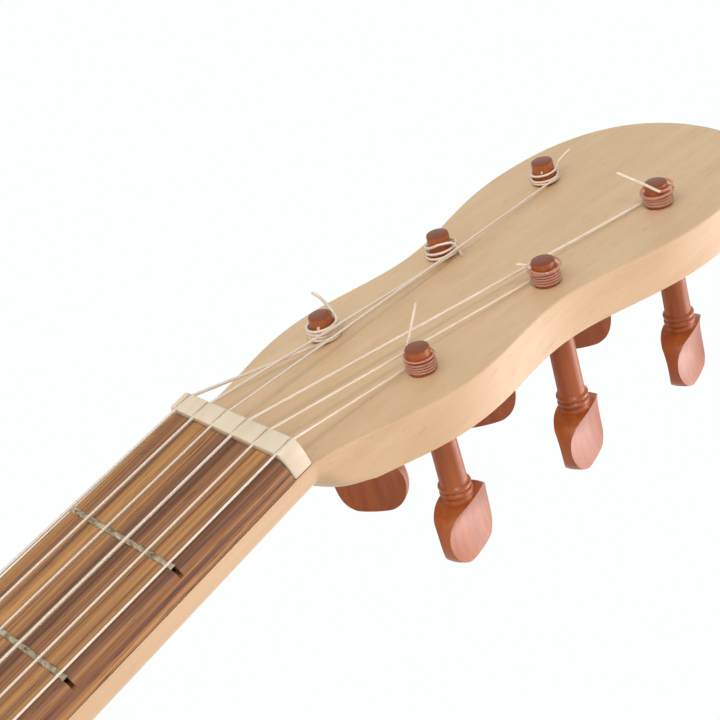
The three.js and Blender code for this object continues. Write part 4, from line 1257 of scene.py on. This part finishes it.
@dataclass
class Pegs(Maker):
    """Six turned friction pegs with scooped thumb pieces."""

    tip_height: float = 7.0
    tip_radius: float = 3.2
    tip_round: float = 0.5
    tip_bevel: float = 0.15
    shank_radius: float = 3.6
    taper: float = 0.15
    collar_at: float = 35.0
    collar_radius: float = 4.4
    # Along the collar: distance from its start, how much slimmer it is there.
    collar_rings: Rows = (
        (0, 0), (0.3, -0.1), (0.9, 0), (1.4, 0.6), (1.9, 0.05), (2.35, -0.1), (2.8, 0), (3.4, 0.5),
    )
    thumb_at: float = 4.4
    thumb_radius: float = 11.0
    thumb_length: float = 17.77
    # Along the thumb piece: share of its length, share of its radius, half thickness in the scoops.
    thumb_rows: Rows = (
        (0, 0.39, 5.1), (0.024, 0.57, 4.5), (0.07, 0.76, 3.6), (0.14, 0.88, 2.9), (0.23, 0.94, 2.2),
        (0.36, 0.98, 1.7), (0.5, 0.995, 1.5), (0.64, 0.965, 1.64), (0.77, 0.9, 2.01), (0.87, 0.8, 2.46),
        (0.94, 0.66, 2.86), (0.98, 0.48, 3.11), (1, 0, 3.25),
    )
    # Turn of each peg's thumb piece in degrees, strings 1 to 6.
    turns: tuple[float, ...] = (17, 20, 20, -45, -40, -58)
    segments: int = 64
    row_steps: int = 5
    edge_round: float = 0.28
    smooth_up_to: float = 28.0  # edges that turn by more than this stay sharp, in degrees

    def build(self) -> None:
        """Makes one peg and sets a turned copy of it at each joint."""
        master = self.shape()
        for n in STRINGS:
            joint = next(j for j in frame["joints"] if j["child"] == f"peg_{n}")
            turn = Matrix.Rotation(math.radians(self.turns[n - 1]), 4, "Z")
            place = Matrix.Translation(Vector(joint["pos_m"])) @ HEAD.to_3x3().to_4x4() @ turn
            piece = finished(master.copy(), f"peg_{n}_turned", place, self.smooth_up_to)
            self.settle(piece, Finish.PEG, "peg_wood", f"peg_{n}", [f"peg_{n}"])
        master.free()

    def thumb_curve(self) -> list[Vector]:
        """Draws the thumb piece's rows as a fine curve.

        Returns:
            Points of height, radius and half thickness.
        """
        top = -self.collar_at - self.thumb_at
        rows = [Vector((top - share * self.thumb_length, wide * self.thumb_radius, half))
                for share, wide, half in self.thumb_rows]
        return smooth_curve(rows, self.row_steps)

    def shape(self) -> Shape:
        """Turns a peg and cuts its two scoops.

        Returns:
            The peg, whose axis is z, with its place on the head's face at 0.
        """
        tip, radius = self.tip_height, self.tip_radius
        shank = [
            (tip, 0), (tip, radius - self.tip_round), (tip - self.tip_bevel, radius - self.tip_bevel),
            (tip - self.tip_round, radius), (0, radius + self.taper), (-HEAD_THICKNESS, self.shank_radius),
            (-self.collar_at + self.tip_round, self.shank_radius + self.taper),
        ]
        collar = [(-self.collar_at - along, self.collar_radius - slimmer)
                  for along, slimmer in self.collar_rings]
        thumb = self.thumb_curve()
        bm = spun([*shank, *collar, *((row.x, max(row.y, 0)) for row in thumb)], self.segments)
        reach = 2 * self.thumb_radius
        scoops = []
        for side in (-1, 1):
            edge = [Vector((side * row.z, -reach, row.x)) for row in thumb]
            below = edge[-1].z - reach
            corners = ((edge[-1].x, below), (side * reach, below), (side * reach, edge[0].z))
            outline = [*edge, *(Vector((x, -reach, z)) for x, z in corners)]
            scoops.append(prism(outline, Vector((0, 2 * reach, 0))))
        bm = combine(bm, scoops)
        soften(bm, self.edge_round, segments=2, angle=30)
        return bm


# ------------------------------------------------------------------ strings


@dataclass(frozen=True)
class Winding:
    """How a string lies round its peg."""

    turns: Rows  # turns since the string met the peg, height above the head's face, gap to the peg
    loose: Rows  # the loose end, from the peg's axis: across, along the head, above its face
    tip: bool = False  # whether the end that was pushed through the peg shows


@dataclass
class Strings(Maker):
    """Strings with their turns round the pegs, their loose ends and their ties at the bridge."""

    gap_drop: float = 5.2  # how much higher the string plane lies over the saddle
    saddle_width: float = 2.6
    tie_face_z: float = -642.5
    tie_back_z: float = -652.5
    tie_hole_y: float = 1.6
    tie_top_y: float = -1.2
    tie_tail: float = 2.5  # how far the tie's end stays from the back of the bridge
    # In string diameters: the tie's strand beside the string, under it and on its other side.
    tie_beside: float = 1.3
    tie_under: float = 0.3
    tie_across: float = -1.1
    tie_loop: float = 1.6
    bend_round: float = 0.8
    sides: int = 12
    peg_radius: float = 3.35
    clearance: float = 0.05
    steps_in_turn: int = 28
    evenings: int = 10  # how often bends in the rows are evened out
    tip_angle: float = math.radians(-53)
    tip_rise: float = 0.05
    tip_from: float = 3.0
    tip_to: float = 3.9
    tip_height: float = 4.5
    windings: tuple[Winding, ...] = (
        Winding(turns=((0, 0.7, 0), (3.7, 3.4, 0), (4.2, 4.3, 0.1), (4.6, 4.5, 0.2), (5, 4.9, 0.1)),
                loose=((-3.7, -0.7, 4.9), (-3.6, 0.5, 7.0), (-3.1, 2.6, 11.1), (-2.6, 5.3, 15.9))),
        Winding(turns=((0, 0.7, 0), (4.3, 4.0, 0), (4.6, 4.5, 0.2), (4.9, 4.5, 0.6), (5.2, 5.3, 0.9),
                       (5.45, 5.1, 0.7), (5.6, 4.7, 0.4), (5.84, 5.8, 0.3)),
                loose=((-2.1, -3.1, 6.2), (-2.3, -5.2, 7.8), (-3.1, -6.2, 8.3))),
        Winding(turns=((0, 0.75, 0), (2.9, 3.2, 0), (3.2, 3.6, 0.5), (3.45, 4.6, 0.9), (3.7, 3.9, 0.5),
                       (3.9, 4.1, 0.5), (4.2, 5.5, 1.0), (4.4, 5.5, 0.7), (4.61, 5.7, 0.3)),
                loose=((2.6, -2.6, 6.0), (1.2, -3.7, 7.4), (-0.2, -4.6, 8.6), (-3.2, -6.0, 10.5),
                       (-6.5, -7.2, 12.3))),
        Winding(turns=((0, 1.6, 0.3), (0.4, 1.0, 0.1), (0.9, 1.1, 0.3), (1.4, 1.5, 0.2), (1.9, 1.9, 0.3),
                       (2.3, 2.5, 0.2), (2.6, 3.3, 0.1), (2.9, 3.9, 0.3), (3.1, 4.3, 0.2)),
                loose=((2.9, 2.6, 4.4), (3.4, 4.2, 5.9), (4.6, 8.0, 7.6)), tip=True),
        Winding(turns=((0, 1.2, 0.9), (0.2, 0.9, 0.9), (0.45, 0.6, 0.7), (0.65, 0.5, 0.5), (0.9, 1.4, 0.8),
                       (1.15, 2.0, 1.0), (1.4, 1.6, 0.6), (1.65, 1.9, 0.4), (1.9, 2.9, 0.6),
                       (2.15, 3.2, 0.9), (2.4, 2.6, 0.5), (2.63, 3.4, 0.3), (2.76, 4.3, 0.3),
                       (2.9, 5.7, 0.6)),
                loose=((5.3, -0.2, 5.1), (6.1, 0.6, 3.8), (6.6, 1.0, 2.3), (6.9, 1.3, 0.7))),
        Winding(turns=((0, 0.6, 0.2), (1, 1.5, 0.5), (2, 2.4, 0.4), (3, 3.3, 0.6), (3.6, 3.8, 0.5),
                       (4.0, 4.4, 0.6), (4.15, 4.6, 0.4)),
                loose=((2.8, 3.0, 5.0), (1.0, 3.6, 6.3), (-0.3, 3.5, 7.9), (-1.6, 2.9, 10.2),
                       (-3.8, 2.4, 11.5)), tip=True),
    )

    def build(self) -> None:
        """Makes each string, its winding and its loose end."""
        for n in STRINGS:
            self.string(n)
            self.winding(n)

    def finish(self, n: int) -> tuple[Finish, str]:
        """Says what a string is finished with.

        Args:
            n: The string's number.

        Returns:
            The finish and the name of the slot.
        """
        return (Finish.WOUND, "wound_metal") if n >= FIRST_WOUND else (Finish.NYLON, "nylon")

    def coil_radius(self, n: int) -> float:
        """How far the middle of a string lies from its peg's axis.

        Args:
            n: The string's number.

        Returns:
            The distance in millimetres.
        """
        return self.peg_radius + STRING_DIAMETERS[n - 1] / 2 + self.clearance

    def tangent(self, n: int) -> tuple[Vector, float]:
        """Finds where a string meets its turns.

        Args:
            n: The string's number.

        Returns:
            The place on the head, and its angle round the peg.
        """
        x, along = PEG_ROWS[n - 1]
        root = string_across(n, 0)
        _, arrival, gap = self.windings[n - 1].turns[0]
        reach = self.coil_radius(n) + gap
        length = math.hypot(x - root, along)
        angle = math.atan2(x - root, along) - math.copysign(math.asin(reach / length), x)
        run = math.sqrt(length ** 2 - reach ** 2)
        end = Vector((root + run * math.sin(angle), run * math.cos(angle), arrival))
        return end, math.atan2(end.y - along, end.x - x)

    def string(self, n: int) -> None:
        """Makes a string from its tie over saddle and nut to its peg.

        Args:
            n: The string's number.
        """
        diameter = STRING_DIAMETERS[n - 1]
        x, root = string_across(n, SADDLE_Z), string_across(n, 0)
        half = self.saddle_width / 2
        over = self.tie_top_y - diameter / 2
        beside = x + self.tie_beside * diameter
        tie = [
            Vector((beside, over, self.tie_back_z + self.tie_tail)),
            Vector((beside, over, self.tie_face_z + diameter)),
            Vector((x + self.tie_under * diameter, self.tie_hole_y - diameter,
                    self.tie_face_z + self.tie_loop * diameter)),
            Vector((x + self.tie_across * diameter, over, self.tie_face_z + diameter)),
            Vector((x, over, self.tie_back_z - diameter / 2)),
            Vector((x, self.tie_hole_y, self.tie_back_z - diameter)),
        ]
        end, _ = self.tangent(n)
        run = [
            Vector((x, self.tie_hole_y, self.tie_face_z + diameter / 2)),
            Vector((x, -self.gap_drop, SADDLE_Z - half)), Vector((x, -self.gap_drop, SADDLE_Z + half)),
            Vector((root, 0, 0)), Vector((root, NUT_BREAK, NUT_THICKNESS)), GUITAR.inverted() @ HEAD @ end,
        ]
        path = rounded_path([*tie, *run], self.bend_round)
        piece = tube(path, diameter, f"string_{n}_tied", GUITAR, self.sides)
        finish, slot = self.finish(n)
        self.settle(piece, finish, slot, "guitar", [f"string_{n}"])

    def turns(self, n: int) -> list[Vector]:
        """Draws the turns of a string round its peg.

        Args:
            n: The string's number.

        Returns:
            Points from the peg's place on the face.
        """
        rows = self.windings[n - 1].turns
        spots = []
        for near, far in zip(rows, rows[1:]):
            steps = max(2, round(self.steps_in_turn * (far[0] - near[0])))
            spots += [Vector(near).lerp(Vector(far), step / steps) for step in range(steps)]
        for _ in range(self.evenings):
            between = [(a + 2 * b + c) / 4 for a, b, c in zip(spots, spots[1:], spots[2:])]
            spots = [spots[0], *between, spots[-1]]
        way = -1 if PEG_ROWS[n - 1][0] > 0 else 1  # the way it turns, seen from above the face
        _, start = self.tangent(n)
        path = []
        for turned, height, gap in spots:
            at = start + way * math.tau * turned
            out = self.coil_radius(n) + gap
            path.append(Vector((out * math.cos(at), out * math.sin(at), height)))
        return path

    def winding(self, n: int) -> None:
        """Makes the turns of a string and its loose end, which ride on its peg.

        Args:
            n: The string's number.
        """
        x, along = PEG_ROWS[n - 1]
        place = HEAD @ Matrix.Translation((x, along, 0))
        diameter, rows = STRING_DIAMETERS[n - 1], self.windings[n - 1]
        finish, slot = self.finish(n)
        turns = self.turns(n)
        loose = smooth_curve([turns[-1], *(Vector(row) for row in rows.loose)])
        if rows.tip:
            outward = Vector((math.cos(self.tip_angle), math.sin(self.tip_angle), self.tip_rise))
            height = Vector((0, 0, self.tip_height))
            nub = [outward * reach + height for reach in (self.tip_from, self.tip_to)]
            tip = tube(nub, diameter, f"winding_{n}_tip", place, self.sides)
            self.settle(tip, finish, slot, f"peg_{n}")
        wound = finish is Finish.WOUND
        coil = [*turns, *loose[1:]] if wound else turns
        piece = tube(coil, diameter, f"winding_{n}_turns", place, self.sides)
        self.settle(piece, finish if wound else Finish.TURNS, slot, f"peg_{n}", [f"winding_{n}"])
        if not wound:
            end = tube(loose, diameter, f"winding_{n}_end", place, self.sides)
            self.settle(end, finish, slot, f"peg_{n}")


# ------------------------------------------------------------------ body


@dataclass
class Body(Maker):
    """Soundboard, back, ribs, bindings, what is glued inside, bridge and button."""

    middle_z: float = -537.5
    round_reach: float = 0.17  # metres of grain for each radian round the body
    inner: tuple[str, ...] = (
        "neck_block", "tail_block", "front_bar_1", "front_bar_2", "front_bar_3", "back_bar_1", "back_bar_2",
    )

    def build(self) -> None:
        """Makes and dresses every piece of the body."""
        self.carve("soundboard", Finish.SPRUCE, "guitar", width=0.4, angle=60)
        self.carve("back_plate", Finish.MAPLE, "guitar", width=0.15, segments=1, angle=60)
        for side in ("bass", "treble"):
            rib = self.carve(f"rib_{side}", Finish.RIB_MAPLE, "guitar", width=0.1, segments=1, angle=60)
            self.wrap(rib)
        for face in ("front", "back"):
            self.carve(f"binding_{face}", Finish.DARK, "guitar", width=0.7, angle=60)
            self.dress(f"lining_{face}", Finish.INNER)
        for name in self.inner:
            self.carve(name, Finish.INNER, "guitar", width=0.6, segments=1)
        self.carve("bridge", Finish.DARK, "guitar", width=0.45)
        self.carve("saddle", Finish.BONE, "guitar", width=0.5, segments=3)
        self.carve("end_button", Finish.DARK, "guitar", width=0.25)

    def wrap(self, piece: Piece) -> None:
        """Stores coordinates that follow a rib round the body, for its grain.

        Args:
            piece: The rib.
        """
        to_guitar = GUITAR.inverted()
        store = piece.data.attributes.new("wrapped", "FLOAT_VECTOR", "POINT")
        for vertex, slot in zip(piece.data.vertices, store.data):
            spot = to_guitar @ vertex.co
            angle = math.atan2(spot.z - self.middle_z, abs(spot.x))
            slot.vector = (0.0, spot.y * MM, angle * self.round_reach)


# ------------------------------------------------------------------ stand


@dataclass
class Stand(Maker):
    """Two side boards, two rails and four cork pads."""

    def build(self) -> None:
        """Makes and dresses every piece of the stand."""
        for side in ("bass", "treble"):
            self.carve(f"stand_side_{side}", Finish.STAND_UP, "stand", width=1.6, segments=3)
            self.carve(f"arm_pad_{side}", Finish.CORK, "stand", width=0.5)
            self.carve(f"back_pad_{side}", Finish.CORK, "stand", width=0.8)
        for end in ("front", "rear"):
            self.carve(f"stand_rail_{end}", Finish.STAND_ACROSS, "stand", width=1.4, segments=3)


# ------------------------------------------------------------------ studio


@dataclass(frozen=True)
class Lamp:
    """A square soft lamp.

    Args:
        name: Its name.
        place: Where it hangs, in metres.
        size: The length of its sides in metres.
        power: Its power in watts.
        colour: The colour of its light.
    """

    name: str
    place: Spot
    size: float
    power: float
    colour: Colour = (0.98, 1.0, 0.97)

    def hang(self, place: Vector, target: Vector) -> None:
        """Makes the lamp.

        Args:
            place: Where it hangs in the scene.
            target: What it faces.
        """
        light = bpy.data.lights.new(self.name, "AREA")
        light.shape = "SQUARE"
        light.color = self.colour
        light.size = self.size
        light.energy = self.power
        lamp = bpy.data.objects.new(self.name, light)
        turn = (target - place).to_track_quat("-Z", "Y").to_matrix().to_4x4()
        lamp.matrix_world = Matrix.Translation(place) @ turn
        bpy.context.scene.collection.objects.link(lamp)


ROSY: Colour = (1.0, 0.88, 0.88)


@dataclass
class Studio:
    """Camera, lamps, floor and world."""

    camera_place: Spot = (287.04, -215.22, -107.84)
    camera_forward: Spot = (-0.7226, 0.5792, 0.3773)
    camera_up: Spot = (-0.2312, -0.7169, 0.6577)
    lens: float = 77.47
    sensor_width: float = 36.0
    clip_start: float = 0.01
    floor_half: float = 6.0
    floor_grey: float = 0.86
    floor_roughness: float = 0.9
    floor_glow: float = 0.6  # lifts the far floor to white where the camera sees it
    floor_near: float = 0.6
    floor_far: float = 1.8
    ambient: float = 0.45
    white: Colour = srgb(252, 255, 254)
    head_middle: Spot = (0, 90, 0)
    # Placed from the middle of the head, along its own axes.
    head_lamps: tuple[Lamp, ...] = (
        Lamp("side", (1.25, 1.0, -0.3), size=0.9, power=13.5, colour=ROSY),
        Lamp("behind", (0.5, 1.1, -0.95), size=0.8, power=11, colour=ROSY),
        Lamp("key", (0.8, -0.5, 1.3), size=0.3, power=7),
        Lamp("fill", (-0.2, -0.9, 1.5), size=1.4, power=7.3),
    )
    low_lamp: Lamp = Lamp("low", (0.9, -1.6, 0.7), size=1.2, power=4)
    low_target: Spot = (0, 0, 0.35)

    def build(self) -> None:
        """Sets up everything that isn't part of the object."""
        bpy.context.scene.view_settings.view_transform = "Standard"
        self.camera()
        self.floor()
        self.world()
        head = HEAD @ Vector(self.head_middle)
        turn = HEAD.to_3x3().normalized()
        for lamp in self.head_lamps:
            lamp.hang(head + turn @ Vector(lamp.place), head)
        self.low_lamp.hang(Vector(self.low_lamp.place), Vector(self.low_target))

    def camera(self) -> None:
        """Makes the camera, placed in the guitar's own frame."""
        camera = bpy.data.objects.new("camera", bpy.data.cameras.new("camera"))
        camera.data.lens = self.lens
        camera.data.sensor_width = self.sensor_width
        camera.data.clip_start = self.clip_start
        bpy.context.scene.collection.objects.link(camera)
        turn = Matrix.Rotation(-LEAN, 3, "X")
        back = -(turn @ Vector(self.camera_forward)).normalized()
        right = (turn @ Vector(self.camera_up)).cross(back).normalized()
        rotation = Matrix((right, back.cross(right), back)).transposed().to_4x4()
        camera.matrix_world = Matrix.Translation(GUITAR @ Vector(self.camera_place)) @ rotation
        bpy.context.scene.camera = camera

    def floor(self) -> None:
        """Makes a plain pale floor."""
        bm = bmesh.new()
        bmesh.ops.create_grid(bm, x_segments=1, y_segments=1, size=self.floor_half)
        floor = finished(bm, "floor")
        material, graph, shader = new_material("floor_paper")
        graph.feed(shader.inputs["Base Color"], (self.floor_grey,) * 3)
        shader.inputs["Roughness"].default_value = self.floor_roughness
        seen = self.seen_by(graph)
        shader.inputs["Emission Strength"].default_value = self.floor_glow
        place = graph.add("TexCoord").outputs["Object"]
        distance = graph.add("VectorMath", {0: place}, operation="LENGTH").outputs["Value"]
        share = graph.maths("MULTIPLY", seen, graph.spread(distance, self.floor_near, self.floor_far))
        graph.feed(shader.inputs["Emission Color"], graph.blend(share, (0, 0, 0), (1, 1, 1)))
        floor.data.materials.append(material)

    def seen_by(self, graph: Graph) -> Socket:
        """Finds the rays that show a surface itself.

        Args:
            graph: The node tree that asks.

        Returns:
            1 for rays from the camera, in reflections and through glass, otherwise 0.
        """
        path = graph.add("LightPath").outputs
        direct = graph.maths("MAXIMUM", path["Is Camera Ray"], path["Is Transmission Ray"])
        return graph.maths("MAXIMUM", direct, path["Is Glossy Ray"])

    def world(self) -> None:
        """A white world that lights the object at a plain level."""
        world = bpy.data.worlds.new("studio")
        world.use_nodes = True
        bpy.context.scene.world = world
        graph = Graph(world.node_tree)
        strength = graph.spread(self.seen_by(graph), 0, 1, (self.ambient, 1.0))
        graph.feed(world.node_tree.nodes["Background"].inputs["Color"], self.white)
        graph.feed(world.node_tree.nodes["Background"].inputs["Strength"], strength)


def main() -> None:
    """Builds the studio and then each sub-assembly in order."""
    logging.basicConfig(level=logging.INFO, format="%(message)s")
    Studio().build()
    paintbox = Paintbox()
    for maker in (Stand, Body, NeckWood, Neck, Pegs, Strings):
        maker(paintbox).build()
        log.info("%s is done", maker.__name__)


if __name__ == "__main__":
    main()
